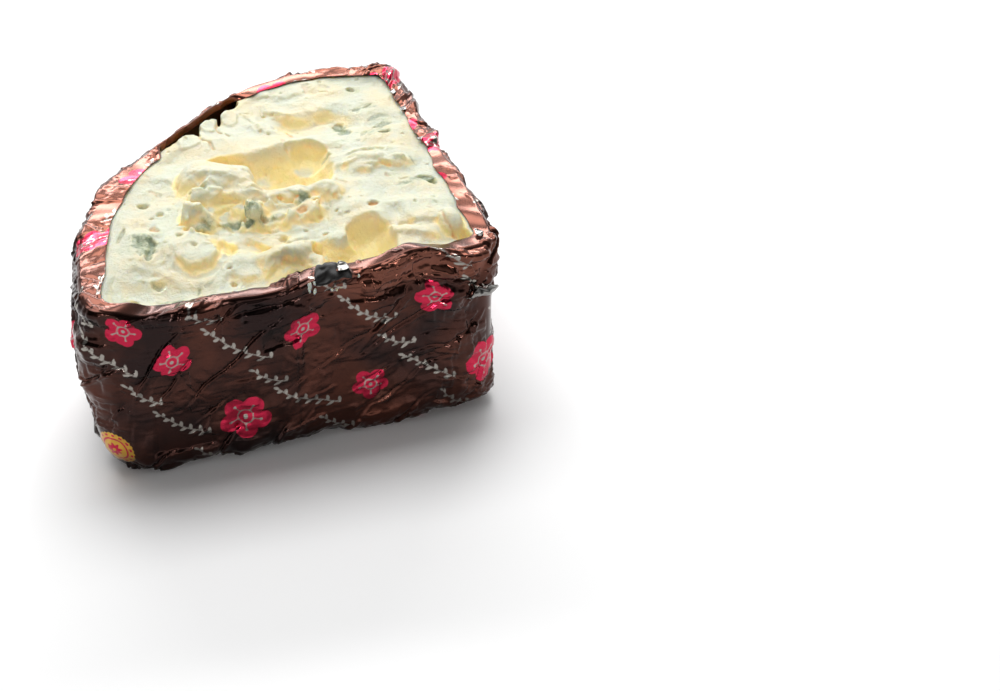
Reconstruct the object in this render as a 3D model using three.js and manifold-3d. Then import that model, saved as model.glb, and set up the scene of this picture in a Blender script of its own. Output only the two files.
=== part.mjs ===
// A wedge of soft blue cheese in its printed foil: an eighth of a wheel, which is a quarter of its round and half of
// its height. It stands on the wheel's flat rind with the level cut face up. The foil is folded over the edge of that
// face all round, and spoons have scooped out its middle.
//
// Millimetres, +Z up. The wheel's axis stands at the layout's x = 0, y = 0: the front cut side runs from it along -X,
// the right cut side along +Y, and the round of the wheel joins their far ends. The finished group is shifted, so
// that the origin is the centre of the base.
import * as THREE from "three";
import { mergeVertices } from "three/addons/utils/BufferGeometryUtils.js";
import Module from "manifold-3d";

const wasm = await Module();
wasm.setup();

// Driving dimensions
const WHEEL_RADIUS = 151.2;
const TORN_DENT = 4; // the rind stands in this far where the paste has torn away from it
const BACK_FLAT = 8.5; // and this far at the back corner, where the foil is drawn round it
const LEFT_SLUMP = 5.2; // at the front left the soft wheel swells out this far halfway up
const CUT_HEIGHT = 80; // the level cut face above the ground
const SIDE_BULGE = 7; // the right cut side has slumped this far past the wheel's axis
const FRONT_BULGE = 3; // and the front cut side this far
const CORNER_SHARPNESS = 15; // how tightly the three sides meet: more is sharper
const RIND_ROUND = 20; // rounding of the wheel's lower rim
const CUT_ROUND = 8; // rounding under the two cut sides
const FOIL = 1.2; // several layers of crumpled foil, with the air between them
const CLEARANCE = 0.4; // between the cheese and the foil
const LIP_CLEARANCE = 0.8; // and under the foil that is folded over it
const LIP_FOIL = 1.2; // thickness of the foil folded over the top edge
const HOLE_RADIUS = 1.5; // left by the needles that let air into the wheel
const HOLE_DEPTH = 6;
const SCOOP_UNEVEN = 0.05; // a spoon leaves a nearly true hollow
const LUMP_UNEVEN = 0.16; // what it pushes up is ragged

// Finishes
const PASTE = { color: 0xf1e6bd, roughness: 0.45, metalness: 0 };
const PRINTED_FOIL = { color: 0x4a2a22, roughness: 0.35, metalness: 0.8 };

// How finely the forms are faceted
const COLUMNS = 104; // round the wedge
const FACE_STEP = 4.9; // grid of the cut face
const BLOB_SIDES = 14;
const BLOB_RINGS = 9;

const MIDDLE = new THREE.Vector2(-60, 60); // a point inside the wedge, which every ring runs round
const COVER = FOIL + CLEARANCE; // from the cheese's side to the outside of the foil
const TALL = 130; // above everything

const smooth = THREE.MathUtils.smoothstep;

// A smooth hump of height 1, centred on a value and fading out at a distance from it
function hump(value, centre, halfWidth) {
  const t = Math.min(Math.abs(value - centre) / halfWidth, 1);
  return 0.5 + 0.5 * Math.cos(Math.PI * t);
}

// --- The outline of the wedge, seen from above

// The wheel's radius at a turn about its axis, in radians from the front
function rindRadius(turn) {
  const degrees = THREE.MathUtils.radToDeg(turn);
  return WHEEL_RADIUS - TORN_DENT * hump(degrees, 50, 19) - BACK_FLAT * smooth(degrees, 72, 90);
}

// How far the cheese's side is from MIDDLE in a direction. The three sides are joined by a power mean of their
// closeness, which rounds the corners.
function reach(angle) {
  const cos = Math.cos(angle);
  const sin = Math.sin(angle);
  let radius = WHEEL_RADIUS;
  let toRind = 0;
  for (let pass = 0; pass < 4; pass++) {
    const along = MIDDLE.x * cos + MIDDLE.y * sin;
    toRind = -along + Math.sqrt(along * along - MIDDLE.lengthSq() + radius * radius);
    const turn = Math.atan2(MIDDLE.y + toRind * sin, -MIDDLE.x - toRind * cos);
    radius = rindRadius(turn);
  }
  const closeness = [
    Math.max(cos, 0) / (SIDE_BULGE - MIDDLE.x),
    Math.max(-sin, 0) / (MIDDLE.y + FRONT_BULGE),
    1 / toRind,
  ];
  const sum = closeness.reduce((total, c) => total + c ** CORNER_SHARPNESS, 0);
  return sum ** (-1 / CORNER_SHARPNESS);
}

const pointAt = (angle) =>
  new THREE.Vector2(Math.cos(angle), Math.sin(angle)).multiplyScalar(reach(angle)).add(MIDDLE);

// COLUMNS evenly spaced stations round the outline, clockwise from the front right corner: along the front, round the
// wheel's rind and back along the right side. Each has its point, the outward direction in which the foil and the
// roundings are offset, and its distance round.
function makeStations() {
  const samples = 3000;
  const start = -Math.PI / 4;
  const points = Array.from({ length: samples + 1 }, (_, i) => pointAt(start - (2 * Math.PI * i) / samples));
  const distances = [0];
  for (let i = 1; i <= samples; i++) {
    distances.push(distances[i - 1] + points[i].distanceTo(points[i - 1]));
  }
  const total = distances[samples];
  const stations = [];
  for (let k = 0, i = 0; k < COLUMNS; k++) {
    const s = (total * k) / COLUMNS;
    while (distances[i + 1] < s) i++;
    const tangent = points[i + 1].clone().sub(points[i]).normalize();
    const normal = new THREE.Vector2(-tangent.y, tangent.x);
    const point = points[i].clone().lerp(points[i + 1], (s - distances[i]) / (distances[i + 1] - distances[i]));
    const outward = point.clone().sub(MIDDLE).normalize();
    outward.multiplyScalar(1 / Math.max(outward.dot(normal), 0.7));
    stations.push({ point, outward, s, share: s / total, onRind: onRind(point) });
  }
  return stations;
}

// 1 along the wheel's round, 0 along the two cut sides, with a smooth change at the two corners between
function onRind(point) {
  const fromFront = smooth(point.y, FRONT_BULGE, 22);
  const fromSide = smooth(-point.x, -SIDE_BULGE, 22);
  return fromFront * fromSide;
}

const STATIONS = makeStations();

// --- Reliefs, as functions of the place on the outline

// A triangle wave between -1 and 1, one of whose turns is one unit long: the flats and creases of folded foil
const fold = (turns) => 4 * Math.abs(turns - Math.floor(turns + 0.5)) - 1;

// Where the front of the rim dips and rises, with the cheese behind it
function frontSag(x) {
  const longDip = smooth(x, -147, -130) * (1 - smooth(x, -84, -66));
  return 4.2 * hump(x, -26, 19) - 2.4 - 3.6 * longDip;
}

// The top of the foil's rim. Along the front it follows the sag, and it is crumpled all round.
function rimHeight({ point, share }) {
  const atFront = 1 - smooth(point.y, 0, 30);
  return CUT_HEIGHT + 1 + atFront * frontSag(point.x) + 0.5 * fold(31 * share) + 0.4 * fold(53 * share);
}

// How far the foil folds in over the top edge of the cheese
function lipWidth({ point, share }) {
  const left = hump(point.x, -150, 60) * smooth(point.y, 0, 20);
  const right = smooth(point.x, -25, 0);
  return 5 + 4 * left + 2 * right + 0.8 * fold(41 * share) + 0.5 * fold(67 * share);
}

// How far cheese and foil swell out at the front left, at a height
function slump({ point }, z) {
  const atLeft = smooth(-point.x, 118, 148) * smooth(point.y, -6, 10);
  return LEFT_SLUMP * atLeft * hump(Math.min(z, CUT_HEIGHT), 52, 44);
}

// Broad flats and creases of the foil's sides, which stand proud of the cheese
function crumple(share, z) {
  const climb = z / CUT_HEIGHT;
  return 0.8 + 0.35 * fold(9 * share + climb) + 0.3 * fold(14 * share - 1.4 * climb) + 0.25 * fold(23 * share + 0.7 * climb);
}

// --- Building closed solids

function toManifold(geometry) {
  const bare = new THREE.BufferGeometry();
  bare.setAttribute("position", geometry.getAttribute("position"));
  bare.setIndex(geometry.getIndex());
  const merged = mergeVertices(bare, 1e-4);
  return new wasm.Manifold(
    new wasm.Mesh({
      numProp: 3,
      vertProperties: new Float32Array(merged.getAttribute("position").array),
      triVerts: new Uint32Array(merged.getIndex().array),
    }),
  );
}

function toGeometry(solid) {
  const mesh = solid.getMesh();
  const geometry = new THREE.BufferGeometry();
  geometry.setAttribute("position", new THREE.BufferAttribute(new Float32Array(mesh.vertProperties), 3));
  geometry.setIndex(new THREE.BufferAttribute(new Uint32Array(mesh.triVerts), 1));
  const faceted = geometry.toNonIndexed();
  faceted.computeVertexNormals();
  return faceted;
}

// A closed solid from rings of equal length. The rings run clockwise seen from above, from the bottom's middle up the
// outside, and each end closes on a point. A solid that folds back inside itself goes on down to its last point. The
// diagonals of its faces all climb the same way, so that two skins with the same rings stay parallel.
function solidFromRings(firstPoint, rings, lastPoint) {
  const positions = [firstPoint, ...rings.flat(), lastPoint].flatMap((p) => [p.x, p.y, p.z]);
  const count = rings[0].length;
  const last = rings.length * count + 1;
  const at = (ring, k) => 1 + ring * count + (k % count);
  const index = [];
  for (let k = 0; k < count; k++) {
    index.push(0, at(0, k), at(0, k + 1));
    index.push(last, at(rings.length - 1, k + 1), at(rings.length - 1, k));
    for (let ring = 0; ring + 1 < rings.length; ring++) {
      const [a, b, c, d] = [at(ring, k), at(ring + 1, k), at(ring + 1, k + 1), at(ring, k + 1)];
      const climbs = rings[ring + 1][k].z > rings[ring][k].z;
      index.push(...(climbs ? [a, b, c, a, c, d] : [a, b, d, b, c, d]));
    }
  }
  const geometry = new THREE.BufferGeometry();
  geometry.setAttribute("position", new THREE.BufferAttribute(new Float32Array(positions), 3));
  geometry.setIndex(index);
  return toManifold(geometry);
}

// One ring round the wedge. The profile gives, for a station, how far out of the cheese's side it runs and how high.
function ring(profile) {
  return STATIONS.map((station) => {
    const [out, z] = profile(station);
    const { point, outward } = station;
    const stand = out + slump(station, z);
    return new THREE.Vector3(point.x + outward.x * stand, point.y + outward.y * stand, z);
  });
}

const middleAt = (z) => new THREE.Vector3(MIDDLE.x, MIDDLE.y, z);

// The rounding under the wedge: wide under the rind and round the front left corner
function lowerRound({ point, onRind }) {
  const wide = Math.max(onRind, 0.6 * smooth(-point.x, 132, 152));
  return CUT_ROUND + (RIND_ROUND - CUT_ROUND) * wide;
}

const SIDE_LEVELS = [36, 54, 70]; // heights at which both the cheese's side and the foil's inside turn

// A ring on the rounded lower edge of a skin that lies a depth inside the foil's outside. The angle runs from 0 under
// the wedge to a right angle at its side.
function roundRing(depth, angle) {
  return ring((station) => {
    const radius = lowerRound(station);
    const swing = radius - depth;
    return [COVER - radius + swing * Math.sin(angle), radius - swing * Math.cos(angle)];
  });
}

const ROUND_ANGLES = [0, 30, 60, 90].map(THREE.MathUtils.degToRad);

// --- The foil: one crumpled sheet, up the sides, over the top edge and lying on the cheese

// The underside of the foil that is folded over the top edge, or a surface at a distance below it
function lipUnderside(below) {
  return [
    ring((s) => [-lipWidth(s), rimHeight(s) - LIP_FOIL - 0.3 - below]),
    ring((s) => [-0.5 * lipWidth(s), rimHeight(s) - LIP_FOIL - 0.4 - below]),
    ring((s) => [CLEARANCE, rimHeight(s) - LIP_FOIL - 2.5 - below]),
  ];
}

function makeFoil() {
  const shoulder = 5; // the rim's outer rounding
  const sideHeights = [0.45, 0.62, 0.78, 0.9];
  const proud = ({ share }, z) => COVER + crumple(share, z);
  const outside = [
    roundRing(0, ROUND_ANGLES[0]),
    roundRing(0, ROUND_ANGLES[1]),
    roundRing(-0.4, ROUND_ANGLES[2]),
    ring((s) => [proud(s, lowerRound(s)), lowerRound(s) + 2]),
    ...sideHeights.map((level) => ring((s) => [proud(s, level * CUT_HEIGHT), level * (rimHeight(s) - shoulder)])),
    ...[0, 35, 70].map((degrees) => {
      const angle = THREE.MathUtils.degToRad(degrees);
      return ring((s) => [
        proud(s, CUT_HEIGHT) + 0.6 - shoulder * (1 - Math.cos(angle)),
        rimHeight(s) - shoulder * (1 - Math.sin(angle)),
      ]);
    }),
  ];
  const lip = [
    ring((s) => [-0.5 * lipWidth(s), rimHeight(s) + 0.3 * fold(37 * s.share)]),
    ring((s) => [-lipWidth(s), rimHeight(s) - 0.3]),
    ...lipUnderside(0),
  ];
  const inside = [
    ...SIDE_LEVELS.toReversed().map((level) => ring(() => [CLEARANCE, level])),
    ...ROUND_ANGLES.toReversed().map((angle) => roundRing(FOIL, angle)),
  ];
  return solidFromRings(middleAt(0), [...outside, ...lip, ...inside], middleAt(FOIL));
}

// What the folded foil leaves no room for along the cheese's top edge, open above so that the cheese ends at the lip
function makeLipRoom() {
  const edge = (out) => (height) => ring((s) => [out(s), height]);
  const inner = edge((s) => -lipWidth(s) - LIP_CLEARANCE);
  const outer = edge(() => COVER);
  const under = lipUnderside(LIP_CLEARANCE);
  const room = solidFromRings(middleAt(0), [outer(0), outer(TALL)], middleAt(TALL));
  const core = solidFromRings(middleAt(-1), [inner(-1), inner(TALL + 1)], middleAt(TALL + 1));
  const belowLip = solidFromRings(
    middleAt(-1),
    [
      edge(() => COVER + 1)(-1),
      ring((s) => [COVER + 1, rimHeight(s) - LIP_FOIL - 2.5 - LIP_CLEARANCE]),
      ...under.toReversed(),
    ],
    middleAt(CUT_HEIGHT - 12),
  );
  return room.subtract(core).subtract(belowLip);
}

// --- The cheese

// Seeded noise: smooth values between -1 and 1 that change over about one unit
function noise(x, y) {
  const [i, j] = [Math.floor(x), Math.floor(y)];
  const [u, v] = [smooth(x - i, 0, 1), smooth(y - j, 0, 1)];
  const corner = (a, b) => {
    const t = Math.sin(a * 127.1 + b * 311.7) * 43758.5453;
    return 2 * (t - Math.floor(t)) - 1;
  };
  const near = corner(i, j) * (1 - u) + corner(i + 1, j) * u;
  const far = corner(i, j + 1) * (1 - u) + corner(i + 1, j + 1) * u;
  return near * (1 - v) + far * v;
}

// A broad rise or dip of the cut face: its middle, its half sizes and how high it is. Its flat top is half as wide.
const SWELLS = [
  { at: [-74, 33], half: [34, 17], high: -4.5 }, // the terrace before the ridge, spooned level
  { at: [-20, 68], half: [18, 14], high: 3 }, // torn and lifted paste on the right
  { at: [-20, 22], half: [22, 20], high: 2 },
  { at: [-36, 106], half: [22, 12], high: -3.5 },
  { at: [-107, 30], half: [15, 15], high: 1 },
];

function swell(x, y) {
  return SWELLS.reduce((sum, { at, half, high }) => {
    const away = Math.hypot((x - at[0]) / half[0], (y - at[1]) / half[1]);
    return sum + high * (1 - smooth(away, 0.5, 1));
  }, 0);
}

// 1 where spoons have broken the paste up, 0 where the cheese wire's cut is still level
function spooned(x, y) {
  return 1 - smooth(Math.hypot((x + 68) / 46, (y - 30) / 42), 0.6, 1);
}

// The cut face before anything was scooped from it: wavy, cragged at the middle, and sagging with the rim in front
function faceHeight(x, y) {
  const wave = 0.6 * Math.sin(x / 17 + 0.6) * Math.cos(y / 21) + 0.5 * noise(x / 11, y / 11);
  const crags = 2.2 * Math.abs(noise(x / 15, y / 12)) + 0.9 * noise(x / 6, y / 6);
  const sag = frontSag(x) * (1 - smooth(y, 2, 32));
  return CUT_HEIGHT + wave + sag + swell(x, y) + spooned(x, y) * (crags - 1);
}

// Everything under the cut face, as a grid of columns over the whole wedge
function makeUnderFace() {
  const [west, east, south, north] = [-160, 12, -8, 156];
  const across = Math.round((east - west) / FACE_STEP);
  const along = Math.round((north - south) / FACE_STEP);
  const block = new THREE.BoxGeometry(east - west, north - south, TALL, across, along, 1);
  block.translate((west + east) / 2, (south + north) / 2, TALL / 2 - 10);
  const position = block.getAttribute("position");
  for (let i = 0; i < position.count; i++) {
    if (position.getZ(i) > 0) position.setZ(i, faceHeight(position.getX(i), position.getY(i)));
  }
  return toManifold(block);
}

function makeBody() {
  const rings = [
    ...ROUND_ANGLES.map((angle) => roundRing(COVER, angle)),
    ...SIDE_LEVELS.map((level) => ring(() => [0, level])),
    ring(() => [0, CUT_HEIGHT]),
    ring(() => [0, TALL - 5]),
  ];
  return solidFromRings(middleAt(COVER), rings, middleAt(TALL - 5));
}

// A rounded lump or hollow: its middle, its half sizes, its turn about the vertical in degrees, and how uneven it is,
// as a share of its size
function blob([x, y, z], [halfX, halfY, halfZ], turn = 0, uneven = 0) {
  const geometry = new THREE.SphereGeometry(1, BLOB_SIDES, BLOB_RINGS);
  geometry.rotateX(Math.PI / 2);
  const position = geometry.getAttribute("position");
  const point = new THREE.Vector3();
  for (let i = 0; i < position.count; i++) {
    point.fromBufferAttribute(position, i);
    const swollen = 1 + uneven * noise(1.7 * point.x + x, 1.7 * point.y + 1.3 * point.z + y);
    point.multiplyScalar(swollen);
    position.setXYZ(i, point.x, point.y, point.z);
  }
  geometry.scale(halfX, halfY, halfZ);
  geometry.rotateZ(THREE.MathUtils.degToRad(turn));
  geometry.translate(x, y, z);
  return toManifold(geometry);
}

// A needle's hole, a little off upright
function needleHole([x, y]) {
  const geometry = new THREE.CylinderGeometry(HOLE_RADIUS, HOLE_RADIUS * 0.7, HOLE_DEPTH + 4, 6);
  geometry.rotateX(Math.PI / 2);
  geometry.rotateY(0.12);
  geometry.translate(x, y, faceHeight(x, y) - HOLE_DEPTH / 2 + 2);
  return toManifold(geometry);
}

// Taken out with a spoon
const SCOOPS = [
  [[-62, 75, 87], [28, 22, 21], 8], // the deep basin at the middle
  [[-61, 10, 87], [8.5, 17, 16], 4], // the trough that runs out towards the front rim
  [[-66, 22, 85], [10, 8, 12], 15], // and the spoon mark at its head
  [[-38, 17, 85], [9.5, 15, 17], -4], // one clean spoonful
  [[-77, 1, 83], [10, 6, 11], 14], // under the fold at the front
  [[-93, 29, 84], [6, 10, 10], 6], // beside the disc
  [[-107, 45, 84], [7.5, 6, 8], 15], // beside the upright flap
  [[-90, 44, 79], [15, 5.5, 8], 8], // the hollow where the mould grows
  [[-20, 60, 88], [12, 6, 8], 12], // where the paste has torn on the right
  [[-31, 68, 87], [5, 9, 8], 30],
  [[-37, 113, 84], [9, 6, 8], -6],
  [[-34, 132, 84], [5, 5, 7], 20],
  [[-4, 7, 82], [3, 6, 9], -20],
];

// Pushed up and left standing by the spoon
const LUMPS = [
  [[-87, 62, 76], [15, 12, 13], 25], // the great curl in front of the basin
  [[-77, 68, 76], [9, 10, 10], 0],
  [[-101, 51, 75], [6, 8, 10], -20], // the upright flap
  [[-70, 50, 74], [13, 7, 11], 12], // the ragged ridge between basin and terrace
  [[-56, 48, 74], [11, 6.5, 10], -10],
  [[-45, 48, 74], [8, 9, 11.5], 8],
  [[-77, 13, 72], [12, 8, 10], 14], // the fold at the front
  [[-48, 10, 68], [6, 9, 9], 0],
  [[-37, 36, 74], [11, 6, 8], 5],
  [[-6, 17, 77], [5.5, 9, 7], 12],
];

// A disc of the cut face that the spoon went round, and the shallow groove round its front
function cutCrescent(solid) {
  const groove = blob([-107, 20, 85], [14, 11, 10], 5);
  const disc = blob([-108, 31, 72], [11, 11, 14], 0);
  return solid.subtract(groove.subtract(disc));
}

const NEEDLE_HOLES = [
  [-118, 64], [-113, 56], [-131, 27], [-124, 13], [-106, 29], [-110, 37], [-96, 15],
  [-95, 6], [-31, 36], [-22, 15], [-11, 90], [-4, 46], [-48, 104], [-51, 119], [-14, 127],
];

// Torn away from the rind along the back left, which leaves a dark gap inside the foil
function cutTornRind(solid) {
  const [first, last, tears] = [47, 66, 5];
  for (let i = 0; i < tears; i++) {
    const degrees = first + ((last - first) * i) / (tears - 1);
    const turn = THREE.MathUtils.degToRad(degrees);
    const radius = WHEEL_RADIUS + 1 + 1.5 * fold(i * 0.37);
    const middle = [-radius * Math.cos(turn), radius * Math.sin(turn), CUT_HEIGHT - 2];
    solid = solid.subtract(blob(middle, [10 + 2 * (i % 2), 8, 14 + 3 * (i % 3)], -degrees));
  }
  return solid;
}

function makeCheese() {
  let solid = makeBody().intersect(makeUnderFace());
  for (const scoop of SCOOPS) solid = solid.subtract(blob(...scoop, SCOOP_UNEVEN));
  for (const lump of LUMPS) solid = solid.add(blob(...lump, LUMP_UNEVEN));
  solid = cutTornRind(cutCrescent(solid));
  for (const place of NEEDLE_HOLES) solid = solid.subtract(needleHole(place));
  return solid.subtract(makeLipRoom());
}

// --- The object

function addPiece(group, name, solid, finish) {
  const mesh = new THREE.Mesh(toGeometry(solid), new THREE.MeshStandardMaterial({ ...finish, flatShading: true }));
  mesh.name = name;
  group.add(mesh);
}

const wedge = new THREE.Group();
addPiece(wedge, "cheese", makeCheese(), PASTE);
addPiece(wedge, "foil_wrap", makeFoil(), PRINTED_FOIL);

const box = new THREE.Box3().setFromObject(wedge);
wedge.position.set(-(box.min.x + box.max.x) / 2, -(box.min.y + box.max.y) / 2, -box.min.z);

export default wedge;
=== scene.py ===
"""A wedge of soft blue cheese in its printed foil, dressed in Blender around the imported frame.

The wheel's axis stands at the front right corner of the wedge. The front cut side runs from it towards -X,
the right cut side towards +Y, and the wheel's round joins their far ends. Shapes are worked out in millimetres
from that axis and from the ground, and turned to the frame's metres when their mesh is made.
"""

import math

import bmesh
import bpy
import numpy as np
import openvdb
from bpy.props import FloatProperty, FloatVectorProperty, IntProperty, PointerProperty
from mathutils import Euler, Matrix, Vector


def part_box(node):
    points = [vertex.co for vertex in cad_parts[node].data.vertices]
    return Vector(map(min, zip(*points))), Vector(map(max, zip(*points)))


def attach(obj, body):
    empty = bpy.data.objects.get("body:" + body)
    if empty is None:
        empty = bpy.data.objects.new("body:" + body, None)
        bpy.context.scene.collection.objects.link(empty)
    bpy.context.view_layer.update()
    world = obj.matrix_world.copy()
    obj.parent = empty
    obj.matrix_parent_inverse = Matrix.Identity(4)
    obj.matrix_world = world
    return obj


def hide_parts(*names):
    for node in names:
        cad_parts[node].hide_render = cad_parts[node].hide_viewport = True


bl_info = {
    "name": "Blue Cheese Wedge",
    "version": (1, 0, 0),
    "blender": (4, 5, 0),
    "location": "3D View > Sidebar > Cheese Wedge",
    "description": "Builds a spooned-out wedge of blue cheese in crumpled printed foil",
    "category": "Object",
}

MM = 0.001
PASTE = "Blue cheese paste, spooned"  # the material of the cheese and of the smears
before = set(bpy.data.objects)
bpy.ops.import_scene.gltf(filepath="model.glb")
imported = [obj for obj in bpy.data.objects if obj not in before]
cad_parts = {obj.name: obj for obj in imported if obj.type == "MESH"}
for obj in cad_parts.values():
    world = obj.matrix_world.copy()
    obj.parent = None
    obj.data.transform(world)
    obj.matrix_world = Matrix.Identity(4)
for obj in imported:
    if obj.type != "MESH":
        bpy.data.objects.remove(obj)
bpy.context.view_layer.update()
CHEESE_LOW, CHEESE_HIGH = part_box("cheese")

# ===== The wedge's form, in millimetres, as the solids have it

WHEEL_RADIUS = 151.2
TORN_DENT = 4.0  # the rind stands in this far where the paste has torn away from it
BACK_FLAT = 8.5  # and this far at the back corner, where the foil is drawn round it
LEFT_SLUMP = 5.2  # at the front left the soft wheel swells out this far
SLUMP_MIDDLE = 52.0  # at this height most
SLUMP_REACH = 44.0  # and not at all this far above or below it
CUT_HEIGHT = 80.0  # the level cut face above the ground
SIDE_BULGE = 7.0  # the right cut side has slumped this far past the wheel's axis
FRONT_BULGE = 3.0  # and the front cut side this far
CORNER_SHARPNESS = 15.0
RIND_ROUND = 20.0  # rounding of the wheel's lower rim
CUT_ROUND = 8.0  # rounding under the two cut sides
COVER = 1.6  # from the cheese's side to the outside of the foil
CORNER = (10.0, 30.0)  # what is done to the front right corner fades out this far behind the front
MIDDLE = np.array([-60.0, 60.0])  # a point inside the wedge, which its outline runs round
WHEEL_AXIS = np.array([CHEESE_HIGH.x / MM - SIDE_BULGE, CHEESE_LOW.y / MM + FRONT_BULGE, 0.0])


def ramp(value, low, high):
    """0 below low, 1 above high and a smooth change between."""
    t = np.clip((np.asarray(value, dtype=float) - low) / (high - low), 0.0, 1.0)
    return t * t * (3.0 - 2.0 * t)


def hump(value, centre, half_width):
    """1 at the centre, fading out smoothly at half_width from it."""
    t = np.minimum(np.abs(value - centre) / half_width, 1.0)
    return 0.5 + 0.5 * np.cos(np.pi * t)


def beside(x, y, start, end):
    """For points, how far along a segment they are, from 0 to 1, and how far from it along X and along Y."""
    (x0, y0), (x1, y1) = start[:2], end[:2]
    dx, dy = x1 - x0, y1 - y0
    t = np.clip(((x - x0) * dx + (y - y0) * dy) / (dx * dx + dy * dy), 0.0, 1.0)
    return t, x - x0 - t * dx, y - y0 - t * dy


def rind_radius(degrees):
    """The wheel's radius at a turn about its axis, counted from the front."""
    return WHEEL_RADIUS - TORN_DENT * hump(degrees, 50.0, 19.0) - BACK_FLAT * ramp(degrees, 72.0, 90.0)


def reach(angle):
    """How far the cheese's side is from MIDDLE in a direction: three sides, joined by a power mean."""
    cos, sin = np.cos(angle), np.sin(angle)
    along = MIDDLE[0] * cos + MIDDLE[1] * sin
    radius = np.full_like(cos, WHEEL_RADIUS)
    for _ in range(4):
        to_rind = -along + np.sqrt(along**2 - MIDDLE @ MIDDLE + radius**2)
        turn = np.arctan2(MIDDLE[1] + to_rind * sin, -MIDDLE[0] - to_rind * cos)
        radius = rind_radius(np.degrees(turn))
    closeness = (
        np.maximum(cos, 0.0) / (SIDE_BULGE - MIDDLE[0]),
        np.maximum(-sin, 0.0) / (MIDDLE[1] + FRONT_BULGE),
        1.0 / to_rind,
    )
    total = sum(c**CORNER_SHARPNESS for c in closeness)
    return total ** (-1.0 / CORNER_SHARPNESS)


def slump_share(z):
    """How much of the swelling at the front left there is at a height."""
    return hump(np.minimum(z, CUT_HEIGHT), SLUMP_MIDDLE, SLUMP_REACH)


def slump(x, y, z):
    """How far cheese and foil swell out at the front left, at a height."""
    at_left = ramp(-x, 118.0, 148.0) * ramp(y, -6.0, 10.0)
    return LEFT_SLUMP * at_left * slump_share(z)


def rind_share(x, y):
    """1 along the wheel's round, 0 along the two cut sides."""
    return ramp(y, FRONT_BULGE, 22.0) * ramp(-x, -SIDE_BULGE, 22.0)


def lower_round(x, y):
    """The rounding under the wedge: wide under the rind and round the front left corner."""
    wide = np.maximum(rind_share(x, y), 0.6 * ramp(-x, 132.0, 152.0))
    return CUT_ROUND + (RIND_ROUND - CUT_ROUND) * wide


class Outline:
    """Stations evenly spaced round the wedge, clockwise from the front right corner, seen from above."""

    START = -math.pi / 4  # the direction of the first station from MIDDLE

    def __init__(self, count):
        angle = self.START - np.linspace(0.0, 2.0 * math.pi, 6001)
        points = MIDDLE + reach(angle)[:, None] * np.stack([np.cos(angle), np.sin(angle)], 1)
        steps = np.linalg.norm(np.diff(points, axis=0), axis=1)
        distance = np.concatenate([[0.0], np.cumsum(steps)])
        self.length = distance[-1]
        self.s = self.length * np.arange(count) / count
        self.angle = np.interp(self.s, distance, angle)
        self.x = np.interp(self.s, distance, points[:, 0])
        self.y = np.interp(self.s, distance, points[:, 1])
        tangent_x = np.interp(self.s, distance[:-1], np.diff(points[:, 0]) / steps)
        tangent_y = np.interp(self.s, distance[:-1], np.diff(points[:, 1]) / steps)
        away = np.stack([self.x - MIDDLE[0], self.y - MIDDLE[1]], 1)
        away /= np.linalg.norm(away, axis=1)[:, None]
        self.facing = np.maximum(-away[:, 0] * tangent_y + away[:, 1] * tangent_x, 0.7)
        self.outward = away / self.facing[:, None]
        self.on_rind = rind_share(self.x, self.y)
        self.on_front = ramp(self.outward @ (0.0, -1.0), 0.55, 0.9)
        self.turn = np.degrees(np.arctan2(self.y, -self.x))  # about the wheel's axis, 0 at the front

    def at(self, values, angle):
        """Values given at the stations, looked up by the direction from MIDDLE."""
        turned = (self.START - angle) % (2.0 * math.pi)
        known = (self.START - self.angle) % (2.0 * math.pi)
        return np.interp(turned, known, values, period=2.0 * math.pi)


def front_sag(x):
    """Where the front of the rim dips and rises, with the cheese behind it."""
    long_dip = ramp(x, -147.0, -130.0) * (1.0 - ramp(x, -84.0, -66.0))
    return 4.2 * hump(x, -26.0, 19.0) - 2.4 - 3.6 * long_dip


def rim_height(outline):
    """The top of the foil's rim at each station."""
    at_front = 1.0 - ramp(outline.y, 0.0, 30.0)
    flutter = 0.45 * periodic_noise(outline.s, outline.length, 15.0, 11)
    flutter += 0.3 * periodic_noise(outline.s, outline.length, 5.0, 14)
    return CUT_HEIGHT + 1.0 + at_front * front_sag(outline.x) + flutter


def lip_width(outline):
    """How far the foil folds in over the top edge of the cheese."""
    left = hump(outline.x, -150.0, 60.0) * ramp(outline.y, 0.0, 20.0)
    right = ramp(outline.x, -25.0, 0.0)
    ragged = 0.9 * periodic_noise(outline.s, outline.length, 9.0, 12)
    ragged += 0.5 * periodic_noise(outline.s, outline.length, 3.5, 13)
    return 5.0 + 4.0 * left + 0.8 * right + ragged * (1.0 - 0.6 * left)


GAP_START, GAP_END = 45.0, 66.0  # where the cheese has torn away from the rind, in degrees round the wheel


def gap_share(turn):
    """1 where a dark gap shows inside the foil at the back left."""
    return ramp(turn, GAP_START - 3.0, GAP_START + 2.0) * (1.0 - ramp(turn, GAP_END - 2.0, GAP_END + 3.0))


# ===== Seeded noise

def spline_weights(coords, cell, period=None):
    """How much each of a row of values that are a cell apart counts at each coordinate: a cubic B-spline."""
    t = (coords - coords.min()) / cell if period is None else (coords % period) / cell
    count = int(t.max()) + 4 if period is None else int(round(period / cell))
    base = np.floor(t).astype(int)
    u = t - base
    pieces = (
        (1 - u) ** 3,
        3 * u**3 - 6 * u**2 + 4,
        -3 * u**3 + 3 * u**2 + 3 * u + 1,
        u**3,
    )
    weights = np.zeros((len(coords), count), np.float32)
    for k, piece in enumerate(pieces):
        np.add.at(weights, (np.arange(len(coords)), (base + k) % count), piece / 6)
    return weights


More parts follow.
